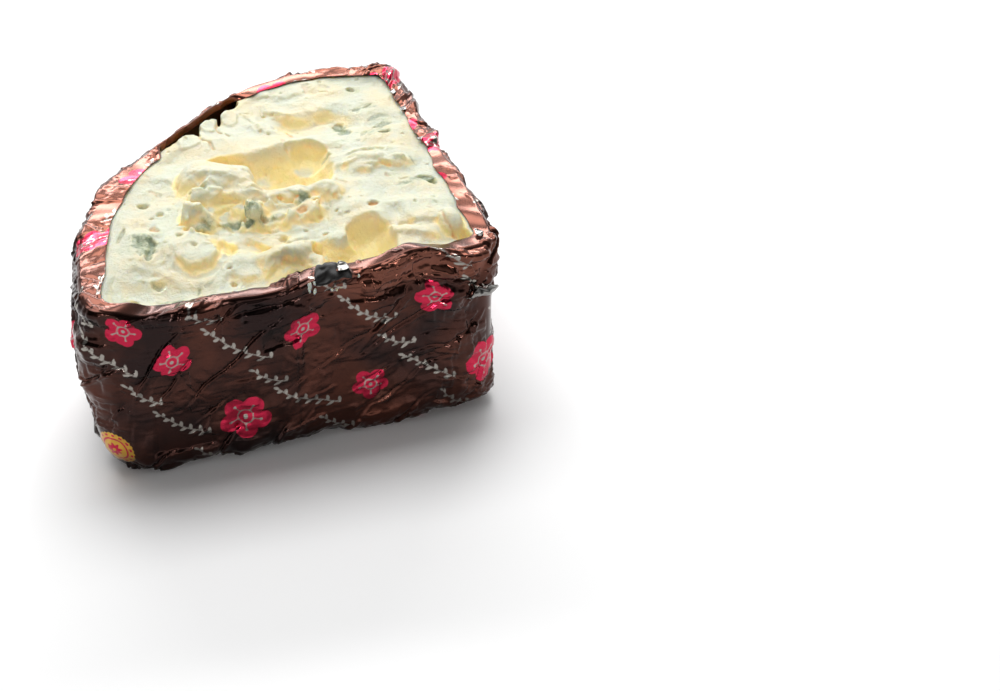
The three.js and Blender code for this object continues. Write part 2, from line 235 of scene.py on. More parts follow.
def grid_noise(axes, cells, seed, periods=(None, None, None)):
    """Smooth noise, about between -1 and 1, on a grid that is given by its axes."""
    weights = [spline_weights(a, c, p) for a, c, p in zip(axes, cells, periods)]
    rng = np.random.default_rng(seed)
    values = rng.uniform(-1.0, 1.0, [w.shape[1] for w in weights]).astype(np.float32)
    for w in weights:
        values = np.tensordot(values, w, axes=(0, 1))
    return values * (1.45 ** len(axes))


def whole_cell(length, cell):
    """The size nearest to cell that fits a whole number of times into a length."""
    return length / max(round(length / cell), 1)


def periodic_noise(s, length, cell, seed):
    """Smooth noise round a closed outline."""
    return grid_noise([s], [whole_cell(length, cell)], seed, [length])


def random_line(values, cell, seed):
    """Smooth noise along one coordinate of scattered points."""
    knots = np.random.default_rng(seed).uniform(-1.0, 1.0, 256)
    return np.interp(values / cell + 128.0, np.arange(256), knots)


# ===== Meshes and materials

def make_piece(name, points, faces, material):
    """A mesh object from points in millimetres about the wheel's axis. It rides on the wedge."""
    mesh = bpy.data.meshes.new(name)
    mesh.from_pydata((points + WHEEL_AXIS) * MM, [], faces)
    mesh.shade_smooth()
    mesh.materials.append(material)
    piece = bpy.data.objects.new(name, mesh)
    bpy.context.scene.collection.objects.link(piece)
    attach(piece, "root")
    return piece


def give_attribute(piece, name, values):
    """Stores one number for each point of a mesh, for its material to read."""
    attribute = piece.data.attributes.new(name, "FLOAT", "POINT")
    attribute.data.foreach_set("value", np.asarray(values, np.float32))


def apply_modifiers(piece):
    """Bakes a piece's modifiers into its mesh."""
    bpy.context.view_layer.update()
    depsgraph = bpy.context.evaluated_depsgraph_get()
    mesh = bpy.data.meshes.new_from_object(piece.evaluated_get(depsgraph), depsgraph=depsgraph)
    old = piece.data
    piece.modifiers.clear()
    piece.data = mesh
    mesh.name = old.name
    bpy.data.meshes.remove(old)


def paint(hex_code):
    """A colour from its sRGB hex code, turned to linear light, with full alpha."""
    channels = [int(hex_code[i : i + 2], 16) / 255 for i in (1, 3, 5)]
    linear = [c / 12.92 if c <= 0.04045 else ((c + 0.055) / 1.055) ** 2.4 for c in channels]
    return (*linear, 1.0)


def add_node(tree, kind, links=None, out=0, **settings):
    """Adds a node with its settings, and gives one of its outputs back. Links maps its inputs to their values,
    or to the outputs of other nodes."""
    node = tree.nodes.new(kind)
    for key, value in settings.items():
        setattr(node, key, value)
    for key, value in (links or {}).items():
        if isinstance(value, bpy.types.NodeSocket):
            tree.links.new(value, node.inputs[key])
        else:
            node.inputs[key].default_value = value
    return node.outputs[out] if len(node.outputs) else None


def new_material(name):
    """An empty material and its node tree."""
    material = bpy.data.materials.new(name)
    material.use_nodes = True
    material.node_tree.nodes.clear()
    return material, material.node_tree


# ===== The cheese: a block of voxels that is cut, scooped and torn

def soft_max(a, b, k):
    """The larger of two distances, with the edge between them rounded over about k."""
    h = np.maximum(k - np.abs(a - b), 0.0)
    return np.maximum(a, b) + h * h / (4.0 * k)


def soft_min(a, b, k):
    """The smaller of two distances, with the crease between them filled in over about k."""
    return -soft_max(-a, -b, k)


class Paste:
    """Signed distances to the cheese's surface on a grid, negative inside, in millimetres."""

    LOW = np.array([-160.0, -8.0, -2.0])
    HIGH = np.array([12.0, 152.0, 94.0])
    WORKED = 52.0  # spoons and tears reach down to this height at most
    HIDDEN = 56.0  # lower than this the foil hides the cheese
    CLEARANCE = 0.45  # and its side stands in this far there, clear of the foil

    def __init__(self, voxel):
        self.voxel = voxel
        axes = [np.arange(a, b, voxel, dtype=np.float32) for a, b in zip(self.LOW, self.HIGH)]
        self.x, self.y, self.z = axes
        self.first = int(np.searchsorted(self.z, self.WORKED))
        self.worked = (self.x, self.y, self.z[self.first :])
        self.drift = [grid_noise(self.worked, (12.0, 12.0, 10.0), seed) for seed in (21, 22, 23)]
        self.curl = [grid_noise(self.worked, (4.5, 4.5, 4.0), seed) for seed in (24, 25, 26)]
        self.stray = self.drift[0][:, :, -20]  # how ledges stray from their paths
        self.rag = grid_noise(self.worked, (5.0, 5.0, 4.5), 27)
        self.fine_rag = grid_noise(self.worked, (2.0, 2.0, 1.8), 28)
        self.ragged = 0.7 * grid_noise((self.x, self.y), (3.5, 3.5), 29)
        self.ragged += 0.5 * grid_noise((self.x, self.y), (1.4, 1.4), 30)
        self.dug = np.zeros((len(self.x), len(self.y)), np.float32)  # how far the surface is pressed in
        self.mould = np.zeros_like(self.dug)
        self.vein = np.zeros_like(self.dug)
        self.stain = np.zeros_like(self.dug)
        self.painted_shade = np.zeros_like(self.dug)  # patches of painted yellow shade, on walls that face away from the light
        self.field = self.body()
        self.top = self.field[:, :, self.first :]

    def body(self):
        """The uncut eighth of a wheel, up to the cut face."""
        x, y = self.x[:, None], self.y[None, :]
        self.outline = Outline(720)
        self.angle = np.arctan2(y - MIDDLE[1], x - MIDDLE[0])
        edge = reach(self.angle)
        facing = self.outline.at(self.outline.facing, self.angle)
        self.side = ((np.hypot(x - MIDDLE[0], y - MIDDLE[1]) - edge) * facing).astype(np.float32)
        edge_x, edge_y = MIDDLE[0] + edge * np.cos(self.angle), MIDDLE[1] + edge * np.sin(self.angle)
        radius = (lower_round(edge_x, edge_y) - COVER).astype(np.float32)[:, :, None]
        swelling = slump(edge_x, edge_y, SLUMP_MIDDLE).astype(np.float32)[:, :, None]
        z = self.z[None, None, :]
        out = self.side[:, :, None] - swelling * slump_share(z).astype(np.float32)
        out = out + self.CLEARANCE * (1.0 - ramp(z, self.HIDDEN, self.HIDDEN + 12.0)).astype(np.float32)
        low_z = z - COVER
        rounded = np.hypot(np.maximum(out + radius, 0.0), np.maximum(radius - low_z, 0.0)) - radius
        field = np.where(low_z < radius, rounded, out)
        top = (z - self.face_height()[:, :, None].astype(np.float32)) * 0.95
        return soft_max(field, top, 6.0).astype(np.float32)

    def face_height(self):
        """The cut face before anything was scooped from it."""
        x, y = self.x[:, None], self.y[None, :]
        wave = 0.6 * np.sin(x / 17 + 0.6) * np.cos(y / 21)
        wave = wave + 0.75 * grid_noise((self.x, self.y), (14.0, 11.0), 31)
        wave -= 0.9 * np.abs(grid_noise((self.x, self.y), (9.0, 7.0), 34)) - 0.35
        wave += 0.28 * grid_noise((self.x, self.y), (4.5, 4.0), 32)
        wave -= 0.22 * np.abs(grid_noise((self.x, self.y), (3.2, 2.6), 35))
        wave += 0.07 * grid_noise((self.x, self.y), (1.5, 1.5), 33)
        sag = front_sag(x) * (1.0 - ramp(y, 2.0, 32.0))
        height = CUT_HEIGHT - 0.6 + wave + sag
        for (cx, cy), (hx, hy), high in SWELLS:
            away = np.hypot((x - cx) / hx, (y - cy) / hy)
            height += high * (1.0 - ramp(away, 0.45, 1.0))
        lip = self.outline.at(lip_width(self.outline), self.angle)
        rim = self.outline.at(rim_height(self.outline), self.angle)
        under_lip = ramp(self.side, -lip - 4.0, -lip + 1.0)
        return height * (1.0 - under_lip) + (rim - 1.1) * under_lip

    def window(self, low, high):
        """The part of the worked grid between two corners."""
        return tuple(slice(*np.searchsorted(axis, ends)) for axis, *ends in zip(self.worked, low, high))

    def coordinates(self, window):
        """X, Y and Z over a window of the worked grid, each along its own axis."""
        x, y, z = self.worked
        return x[window[0], None, None], y[None, window[1], None], z[None, None, window[2]]

    # --- Whole forms

    def ellipsoid(self, at, half, turn=0.0, tilt=0.0, rag=0.0, drift=0.0, curl=0.0, stripes=0.0, drapes=0.0):
        """Distance to an uneven ellipsoid, and the window of the grid that it is known in."""
        half = np.array(half, dtype=np.float32)
        size = half.max() + 3.0 * rag + drift + curl + 3.0
        w = self.window([c - size for c in at], [c + size for c in at])
        around = zip(self.coordinates(w), at, self.drift, self.curl)
        p = [a - c + drift * n[w] + curl * m[w] for a, c, n, m in around]
        turned = Euler((math.radians(tilt), 0.0, math.radians(turn))).to_matrix()
        back = np.array(turned.transposed(), np.float32)
        q = [back[i, 0] * p[0] + back[i, 1] * p[1] + back[i, 2] * p[2] for i in range(3)]
        near = np.sqrt(sum((c / h) ** 2 for c, h in zip(q, half)))
        slope = np.sqrt(sum((c / h**2) ** 2 for c, h in zip(q, half)))
        distance = near * (near - 1.0) / (slope + 1e-6)
        distance += rag * (0.7 * self.rag[w] + 0.45 * self.fine_rag[w])
        if drapes:
            across = 0.3 * p[0] + 0.75 * p[1] + 0.6 * p[2] + 0.8 * self.drift[1][w]
            distance -= drapes * (np.abs(random_line(across, 4.2, 43)) - 0.5)
        if stripes:
            distance += stripes * random_line(q[0], 0.9, 41) + 0.6 * stripes * random_line(q[0], 2.3, 42)
        return distance, w

    def scoop(self, at, half, soft=1.0, **shape):
        """Takes a hollow out. A small soft leaves a sharp edge round it."""
        distance, w = self.ellipsoid(at, half, **shape)
        self.top[w] = soft_max(self.top[w], -distance, soft)

    def lump(self, at, half, soft=2.0, **shape):
        """Adds a swelling. A small soft leaves a crease round it."""
        distance, w = self.ellipsoid(at, half, **shape)
        self.top[w] = soft_min(self.top[w], distance, soft)

    def sliver(self, crest, high, thick, lean=0.0, soft=0.8, rag=0.3):
        """Adds a thin upright flake along a crest line, thicker at its foot. Lean moves its foot along Y."""
        room = np.array((thick + 5.0, thick + abs(lean) + 5.0, 5.0))
        for start, end in zip(crest, crest[1:]):
            low, far = np.minimum(start, end) - room, np.maximum(start, end) + room
            low[2] = crest[0][2] - high - 3.0
            w = self.window(low, far)
            x, y, z = self.coordinates(w)
            t, off_x, off_y = beside(x, y, start, end)
            peak = start[2] + t * (end[2] - start[2])
            down = np.clip((peak - z) / high, 0.0, 1.0)
            across = np.hypot(off_x, off_y - lean * down**1.5)
            width = thick * (0.35 + 0.65 * down)
            distance = np.maximum(across - width, (z - peak) * 0.8)
            distance = distance + rag * (0.6 * self.curl[0][w] + 0.6 * self.fine_rag[w])
            self.top[w] = soft_min(self.top[w], distance.astype(np.float32), soft)

    # --- Marks on the face, as maps of its columns

    def spot(self, at, half, turn=0.0, rag=0.3, soft=0.6):
        """1 in the middle of a ragged patch, 0 outside it."""
        cos, sin = math.cos(math.radians(turn)), math.sin(math.radians(turn))
        x, y = self.x[:, None] - at[0], self.y[None, :] - at[1]
        away = np.hypot((x * cos + y * sin) / half[0], (y * cos - x * sin) / half[1])
        return (1.0 - ramp(away + rag * self.ragged, 1.0 - soft, 1.0)).astype(np.float32)

    def streak(self, points, width, rag=0.35, soft=0.7):
        """1 along a broken line, 0 further from it than its half width."""
        x, y = self.x[:, None], self.y[None, :]
        away = np.full(self.dug.shape, 99.0)
        for start, end in zip(points, points[1:]):
            _, off_x, off_y = beside(x, y, start, end)
            away = np.minimum(away, np.hypot(off_x, off_y) / width)
        return (1.0 - ramp(away + rag * self.ragged, 1.0 - soft, 1.0)).astype(np.float32)

    def ledge(self, points, up, down, sharp, rise, fall):
        """Raises the face on the left of a path and lowers it on the right, with a drop sharp mm wide between.
        The face comes back to its height over rise on the high side and over fall on the low one."""
        x, y = self.x[:, None], self.y[None, :]
        away, side = np.full(self.dug.shape, 99.0), np.ones(self.dug.shape)
        walked, share = 0.0, np.zeros(self.dug.shape)
        for (x0, y0), (x1, y1) in zip(points, points[1:]):
            dx, dy = x1 - x0, y1 - y0
            length = math.hypot(dx, dy)
            t, off_x, off_y = beside(x, y, (x0, y0), (x1, y1))
            gap = np.hypot(off_x, off_y)
            closer = gap < away
            side = np.where(closer, np.sign((y - y0) * dx - (x - x0) * dy), side)
            share = np.where(closer, walked + t * length, share)
            away = np.minimum(away, gap)
            walked += length
        from_path = away * side + 1.1 * self.ragged + 1.3 * self.stray
        drop = ramp(-from_path, 0.0, sharp)
        height = up * (1.0 - ramp(from_path, 0.0, rise)) * (1.0 - drop)
        height -= down * drop * (1.0 - ramp(-from_path, sharp, sharp + fall))
        fade = 0.3 * walked
        height *= ramp(share, -0.5, fade) * (1.0 - ramp(share, walked - fade, walked + 0.5))
        self.dug -= height.astype(np.float32)

    def mark(self, share, deep=0.0, vein=0.0, stain=0.0):
        """Presses a patch of the face in, and colours it with mould or with an orange stain."""
        self.dug += deep * share
        self.vein = np.maximum(self.vein, vein * share)
        self.stain = np.maximum(self.stain, stain * share)

    def tear(self, share, rag, fine, plates=0.0):
        """Breaks the face up by a share for each column: coarse and fine raggedness, and flat flakes with sharp
        brinks, plates high."""
        ridged = 1.0 - 2.0 * np.abs(self.rag)
        self.top += share[:, :, None] * (rag * ridged + fine * self.fine_rag)
        if plates:
            flake = 1.3 * self.rag + 0.9 * self.drift[2] + 0.15 * self.fine_rag
            floor = np.floor(flake)
            self.top += plates * share[:, :, None] * (floor + ramp(flake - floor, 0.72, 1.0))

    def level(self):
        """The height of the surface in every column, as seen from above."""
        solid = self.field[:, :, ::-1] < 0.0
        return np.where(solid.any(2), self.z[-1] - solid.argmax(2) * self.voxel, 0.0)

    def surface(self):
        """The points and faces of the surface."""
        grid = openvdb.FloatGrid(10.0)
        grid.copyFromArray(self.field)
        points, triangles, quads = grid.convertToPolygons(isovalue=0.0, adaptivity=0.0)
        faces = [face[::-1] for face in triangles.tolist() + quads.tolist()]
        return points * self.voxel + self.LOW, faces

    def sample(self, values, points):
        """Values of the columns, looked up at points."""
        i = (points[:, 0] - self.LOW[0]) / self.voxel
        j = (points[:, 1] - self.LOW[1]) / self.voxel
        i0 = np.clip(np.floor(i).astype(int), 0, len(self.x) - 2)
        j0 = np.clip(np.floor(j).astype(int), 0, len(self.y) - 2)
        u, v = np.clip(i - i0, 0.0, 1.0), np.clip(j - j0, 0.0, 1.0)
        near = values[i0, j0] * (1 - u) + values[i0 + 1, j0] * u
        far = values[i0, j0 + 1] * (1 - u) + values[i0 + 1, j0 + 1] * u
        return near * (1 - v) + far * v


# A broad rise or dip of the cut face: its middle, its half sizes and how high it is
SWELLS = (
    ((-74, 33), (34, 17), -4.0),  # the terrace before the ridge, spooned level
    ((-20, 68), (18, 14), 2.5),  # torn and lifted paste on the right
    ((-20, 22), (22, 20), 1.5),
    ((-36, 106), (22, 12), -3.0),
    ((-107, 30), (15, 15), 1.0),
)


def shape_paste(voxel):
    """The cheese after the spoons have been at it."""
    paste = Paste(voxel)
    take_spoonfuls(paste)
    raise_ridge(paste)
    raise_front_fold(paste)
    tear_right_flat(paste)
    tear_rind(paste)
    prick_holes(paste)
    open_slits(paste)
    scatter_pits(paste)
    grow_mould(paste)
    paste.top += paste.dug[:, :, None]
    return paste


def take_spoonfuls(paste):
    """The hollows that spoons left, from the deep basin at the middle to shallow scrapes."""
    paste.scoop((-62, 76, 87), (25, 20, 20), turn=8, soft=1.5, drift=2.5, curl=0.9, stripes=0.12, rag=0.3)
    paste.scoop((-76, 81, 85), (13, 14, 16), turn=30, soft=0.5, drift=1.5, curl=0.5, stripes=0.15)
    paste.scoop((-49, 83, 85), (13, 12, 15), turn=-25, soft=0.5, drift=1.5, curl=0.5, stripes=0.15)
    paste.scoop((-58, 66, 84), (20, 10, 13), turn=6, soft=0.8, drift=2.0, curl=0.8, rag=0.2)
    paste.scoop((-56, 9, 81), (9, 13, 10), turn=12, soft=2.5, drift=2.0, curl=1.0, rag=0.2)
    paste.scoop((-44, 8, 82), (13, 13, 11.5), soft=2.0, drift=1.5, curl=0.6, rag=0.1)
    take_straight_backed(paste, (-38, 15, 82), (9.0, 21, 12.5), 27.5)
    paste.scoop((-90, 43, 79), (15, 5.0, 7), turn=8, soft=0.6, drift=2.0, curl=1.2, rag=0.6)
    paste.scoop((-34, 132, 85), (6, 5, 6), turn=20, soft=1.2, drift=2.0, curl=0.8)
    paste.scoop((-24, 24, 84), (6, 8, 5), turn=30, soft=2.0, drift=2.0, curl=0.8)


def take_straight_backed(paste, at, half, back):
    """A scoop whose far wall is nearly flat, so that its upper edge is straight."""
    distance, w = paste.ellipsoid(at, half, drift=0.6, stripes=0.25)
    x, y, z = paste.coordinates(w)
    across = x - at[0]
    wall = y - back - 0.7 * (z - 76.0) + 0.035 * across * across
    distance = soft_max(distance, wall.astype(np.float32), 1.6)
    paste.top[w] = soft_max(paste.top[w], -distance, 0.6)


def raise_ridge(paste):
    """The great curl in front of the basin and the torn ridge that runs on from it to the right."""
    paste.lump((-88, 69, 76), (14, 13.5, 13.5), turn=15, drift=2.0, curl=1.0, rag=0.1, drapes=1.2)
    paste.lump((-91, 77, 79), (9, 7, 9.5), turn=10, drift=1.0, curl=0.8, rag=0.1, soft=3.5)
    paste.lump((-93, 58, 75), (12, 10, 11), turn=20, drift=2.0, curl=1.2, rag=0.1, soft=3.5, drapes=1.6)
    paste.lump((-79, 67, 77), (9, 9, 9.5), drift=2.0, curl=1.2, rag=0.1, soft=3.0, drapes=1.4)
    paste.lump((-80, 57, 76), (13, 9, 9.5), turn=-12, drift=2.0, curl=1.2, rag=0.1, soft=3.5, drapes=1.6)
    paste.lump((-68, 52, 75), (13, 8, 10.5), turn=6, drift=3.0, curl=1.5, rag=0.4, soft=2.5, drapes=1.2)
    paste.lump((-56, 50, 75), (12, 7, 10), turn=-10, drift=3.0, curl=1.5, rag=0.6, soft=2.0, drapes=1.0)
    paste.lump((-45, 51, 75), (9, 9, 10.5), turn=8, drift=1.5, curl=0.8, rag=0.1, soft=1.2)
    paste.lump((-37, 38, 74), (12, 7, 7.0), turn=5, drift=1.2, curl=0.5)
    for at, half in RIDGE_BITES:
        paste.scoop(at, half, soft=0.6, drift=2.0, curl=1.4, rag=0.5)
    crest = ((-107, 45, 80), (-103, 51, 86), (-99, 50, 85.5), (-95, 46, 82))
    paste.sliver(crest, 11, 3.4, lean=-1.0, soft=1.4)
    paste.lump((-97, 47, 75), (12, 6, 7.0), turn=6, drift=3.0, curl=2.0, rag=0.6, soft=3.0, drapes=1.0)
    paste.lump((-81, 46, 75), (13, 6.5, 7.0), turn=-8, drift=3.0, curl=2.0, rag=0.6, soft=3.0, drapes=1.0)
    paste.lump((-64, 42, 75), (13, 5.0, 5.0), turn=4, drift=3.0, curl=2.0, rag=0.3, soft=2.5, drapes=0.8)
    paste.tear(paste.spot((-64, 46), (28, 9), soft=0.5), 0.6, 0.6, 1.6)
    paste.tear(paste.spot((-90, 45), (20, 7), soft=0.5), 0.7, 0.7, 1.8)
    paste.tear(paste.spot((-88, 62), (18, 14), soft=0.6), 0.15, 0.1, 0.9)
    paste.tear(paste.spot((-72, 28), (36, 15), soft=0.7), 0.3, 0.15, 0.7)
    paste.mark(paste.spot((-59, 41), (3.5, 2.4)), deep=1.5, stain=1.0)
    paste.mark(paste.spot((-53, 44), (1.8, 1.6)), deep=1.0, stain=0.8)
    paste.mark(paste.spot((-74, 42), (2.2, 1.6)), deep=0.8, stain=0.5)


# Ledges that spoons and the knife left: the path with the high side on its left, how far up and down the two
# sides go, how wide the drop is, and how far the high and the low side reach
LEDGES = (
    (
        ((-115, 33), (-114, 25), (-109, 19.5), (-103, 19.5), (-98, 25), (-96, 33), (-97, 39)),
        0.5, 1.9, 1.0, 14, 9,
    ),
    (((-89, 23), (-94, 19), (-100, 14.5), (-108, 13), (-117, 19)), 0.6, 0.4, 3.5, 8, 4),
    (((-95, 38), (-92, 35), (-89, 29), (-88, 23)), 0.6, 1.5, 2.5, 8, 7),
    (((-88, 3), (-81, 10), (-74, 15), (-68, 15.5), (-63, 10), (-63, 4)), 0.9, 0.6, 2.0, 5, 4),
    (((-88, 40), (-81, 34), (-75, 26), (-68, 25), (-60, 27), (-51, 25)), 0.5, 1.4, 2.6, 9, 7),
    (((-51, 24), (-57, 17), (-60, 8), (-62, 0)), 0.6, 0.6, 3, 8, 6),
    (((-32, 65), (-25, 61), (-19, 63), (-12, 59)), 0.7, 0.9, 1.2, 7, 5),
    (((-36, 74), (-28, 76), (-20, 79), (-12, 74)), 0.2, 0.8, 1.6, 5, 5),
    (((-57, 128), (-47, 114), (-36, 112), (-24, 119)), 0.7, 0.9, 2.8, 9, 8),
    (((-66, 121), (-59, 109), (-49, 101), (-37, 98)), 0.4, 0.7, 2.8, 8, 8),
    (((-56, 140), (-46, 132), (-32, 131)), 0.6, 0.7, 2.4, 6, 6),
    (((-34, 31), (-25, 23), (-14, 22), (-4, 14)), 0.5, 1.0, 2.8, 8, 6),
    (((-32, 17), (-22, 10), (-10, 10)), 0.4, 0.7, 2.4, 6, 5),
    (((-133, 51), (-122, 54), (-114, 44), (-113, 38)), 0.2, 0.6, 3, 7, 6),
    (((-100, 72), (-91, 70), (-82, 64), (-71, 60)), 0.7, 1.2, 2.2, 6, 5),
    (((-99, 66), (-89, 64), (-80, 59), (-70, 55)), 0.4, 0.7, 2.2, 6, 5),
    (((-99, 59), (-90, 59), (-81, 53), (-72, 50)), 0.4, 0.8, 1.6, 5, 4),
    (((-139, 22), (-130, 24), (-121, 17), (-112, 4)), 0.2, 0.4, 3, 8, 8),
    (((-122, 82), (-112, 86), (-100, 78)), 0.2, 0.4, 3, 8, 8),
    (((-50, 93), (-38, 88), (-27, 89)), 0.3, 0.6, 2.5, 7, 6),
    (((-96, 15), (-90, 10), (-84, 11)), 0.2, 0.6, 1.8, 5, 5),
    (((-80, 44), (-72, 38), (-62, 37), (-55, 32)), 0.4, 0.7, 1.4, 5, 4),
)  # fmt: skip

# Bites out of the ridge's front face and crest: middle and half sizes
RIDGE_BITES = (
    ((-66, 42, 83), (4.2, 3.5, 5.5)),
    ((-58, 42, 80), (5.0, 3.5, 4.5)),
    ((-51, 43, 84), (4.5, 3.5, 5.5)),
    ((-63, 59, 88), (5.0, 4.0, 4.0)),
    ((-50, 60, 88), (4.5, 4.0, 5.0)),
    ((-71, 56, 87), (4.5, 3.0, 4.0)),
    ((-46, 36, 81), (1.6, 1.1, 3.0)),
    ((-98, 54, 79), (3.0, 2.5, 3.0)),
)


def raise_front_fold(paste):
    """The fold of paste at the front rim, the swellings beside it and the curl at the front right corner."""
    paste.lump((-73, 17, 74), (13, 7, 7.5), turn=10, drift=2.0, curl=0.8, rag=0.1, soft=3.0)
    paste.scoop((-74, -2, 80), (12.5, 17, 9), turn=8, soft=0.6, drift=1.5, curl=0.6, stripes=0.1)
    paste.lump((-61, 9, 68), (5, 10, 9), turn=-8, drift=2.0, curl=0.8, rag=0.1, soft=3.0)
    paste.lump((-44, 6, 65.5), (9, 7, 9), drift=2.5, curl=1.5, rag=0.4, soft=2.0)
    paste.lump((-6, 17, 76), (5.0, 9, 7), turn=12, soft=1.0, drift=1.5, curl=0.5)
    paste.scoop((-2.5, 6, 82), (3, 5, 8), turn=-20, soft=0.6, drift=1.2)
    for path, *shape in LEDGES:
        paste.ledge(path, *shape)


def tear_right_flat(paste):
    """The torn block on the right and the smooth waves behind it."""
    paste.scoop((-37, 66, 87), (4, 8, 8.0), turn=20, soft=1.0, drift=1.8, curl=1.0, rag=0.3)
    paste.scoop((-22, 58, 88), (10, 4, 7), turn=10, soft=1.0, drift=2.0, curl=1.2, rag=0.4)
    paste.lump((-24, 71, 79), (8, 5, 4.0), turn=20, soft=1.2, drift=2.0, curl=1.4, rag=0.5)
    paste.tear(paste.spot((-22, 66), (16, 13), soft=0.7), 0.4, 0.3, 1.1)
    paste.tear(paste.spot((-28, 86), (18, 12), soft=0.9), 0.2, 0.1, 0.5)
    paste.tear(paste.spot((-118, 34), (20, 22), soft=0.9), 0.1, 0.1, 0.35)
    paste.tear(paste.spot((-45, 118), (30, 18), soft=0.9), 0.1, 0.1, 0.35)


# The torn edge of the paste along the back left, from its front end to its back one, seen from above
TORN_EDGE = (
    (-110, 101), (-105, 103), (-100, 106.5), (-94, 109), (-87, 111.5), (-85, 107.5), (-83.5, 113),
    (-82.5, 118), (-77, 123), (-73.5, 121), (-70, 125.5), (-66.5, 128), (-64, 129), (-59.5, 135),
    (-54, 139), (-48, 143),
)  # fmt: skip

# Raised flakes along that edge: middle, half sizes and turn in degrees
FLAKES = (((-79, 117), (5, 6), 15), ((-69, 121), (4, 6), -10), ((-90, 106), (6, 5), 20))


def tear_rind(paste):
    """Tears the paste from the rind along the back left, and leaves flakes and stained cracks at the brink."""
    x, y = paste.x[:, None], paste.y[None, :]
    away = np.full(paste.dug.shape, 99.0)
    torn = np.zeros(paste.dug.shape, bool)
    ring = (*TORN_EDGE, (-48, 200), (-200, 200), (-200, 101))
    for (x0, y0), (x1, y1) in zip(ring, (*ring[1:], ring[0])):
        _, off_x, off_y = beside(x, y, (x0, y0), (x1, y1))
        away = np.minimum(away, np.hypot(off_x, off_y))
        if y0 != y1:  # a line towards +X crosses the ring an odd number of times from every torn column
            torn ^= ((y0 > y) != (y1 > y)) & (x < x0 + (y - y0) * (x1 - x0) / (y1 - y0))
    beyond = np.where(torn, away, -away)
    deep = np.maximum(CUT_HEIGHT - 1.0 - paste.worked[2], 0.0)[None, None, :]
    lean = 0.012 * deep**1.9
    wall = beyond[:, :, None] - lean + 0.5 * paste.curl[1] + 0.35 * paste.fine_rag
    gap = gap_share(np.degrees(np.arctan2(y, -x)))[:, :, None]
    wall = wall - 30.0 * (1.0 - gap)  # far out of the way where there is no gap
    paste.top[:] = soft_max(paste.top, wall.astype(np.float32), 0.5)
    for at, half, turn in FLAKES:
        paste.dug -= 0.9 * paste.spot(at, half, turn, rag=0.2, soft=0.25)
    paste.mark(paste.streak([(-85, 108), (-82, 104), (-81.5, 99)], 1.0), deep=1.0, stain=0.6)
    paste.mark(paste.streak([(-74, 121), (-77, 114), (-75.5, 110)], 1.1), deep=1.2, stain=0.6)
    paste.mark(paste.streak([(-74, 109), (-73, 107)], 1.2), deep=1.0, stain=1.0)
    paste.mark(paste.streak([(-64, 124), (-62, 118), (-60, 110)], 1.0), deep=0.6, stain=0.2)


# A needle's hole: its middle, its size, how mouldy and how stained it is
NEEDLE_HOLES = (
    ((-118, 65), 1.9, 0.9, 0.1), ((-113, 57), 1.6, 0.35, 0.1), ((-131, 28), 1.6, 0.7, 0.1),
    ((-124, 14), 1.9, 0.8, 0.2), ((-134, 7), 1.3, 0.1, 0.5), ((-105.5, 30), 1.7, 0.7, 0.2),
    ((-109.5, 38), 1.4, 0.6, 0.1), ((-102, 40), 0.9, 0.5, 0.2), ((-95.5, 16), 1.5, 0.0, 0.9),
    ((-95, 8), 1.6, 0.5, 0.5), ((-31, 36), 1.6, 0.0, 0.9),
    ((-22, 16), 1.3, 0.0, 0.7), ((-25, 19), 0.9, 0.0, 0.5), ((-11, 90), 1.9, 1.0, 0.0),
    ((-4, 46), 1.4, 0.8, 0.1), ((-51, 119), 1.3, 0.5, 0.4), ((-14, 128), 1.4, 0.8, 0.0),
    ((-13, 118), 1.2, 0.6, 0.0), ((-44, 107), 1.1, 0.5, 0.0), ((-20, 70), 1.2, 0.2, 0.7),
    ((-46, 97), 1.0, 0.0, 0.5), ((-70, 30), 1.3, 0.6, 0.3), ((-54, 26), 1.2, 0.0, 0.9),
    ((-60, 31), 0.9, 0.0, 0.6), ((-35, 126), 1.0, 0.5, 0.0), ((-57, 104), 1.2, 0.0, 0.3),
)  # fmt: skip


def prick_holes(paste):
    """The needles' holes: each a ragged pit in a shallow dimple with a raised edge, and mould round it."""
    for at, size, mould, stain in NEEDLE_HOLES:
        edge = paste.spot(at, (2.4 * size, 2.4 * size), rag=0.15, soft=0.5)
        dimple = paste.spot(at, (1.7 * size, 1.7 * size), rag=0.3, soft=0.6)
        pit = paste.spot(at, (1.15 * size, 1.0 * size), rag=0.7, soft=0.6)
        halo = paste.spot(at, (2.6 * size, 2.6 * size), soft=0.9)
        paste.dug -= 0.25 * edge
        paste.mark(dimple, deep=0.45)
        paste.mark(pit, deep=1.1, vein=mould, stain=stain)
        paste.mould = np.maximum(paste.mould, 0.6 * mould * halo)


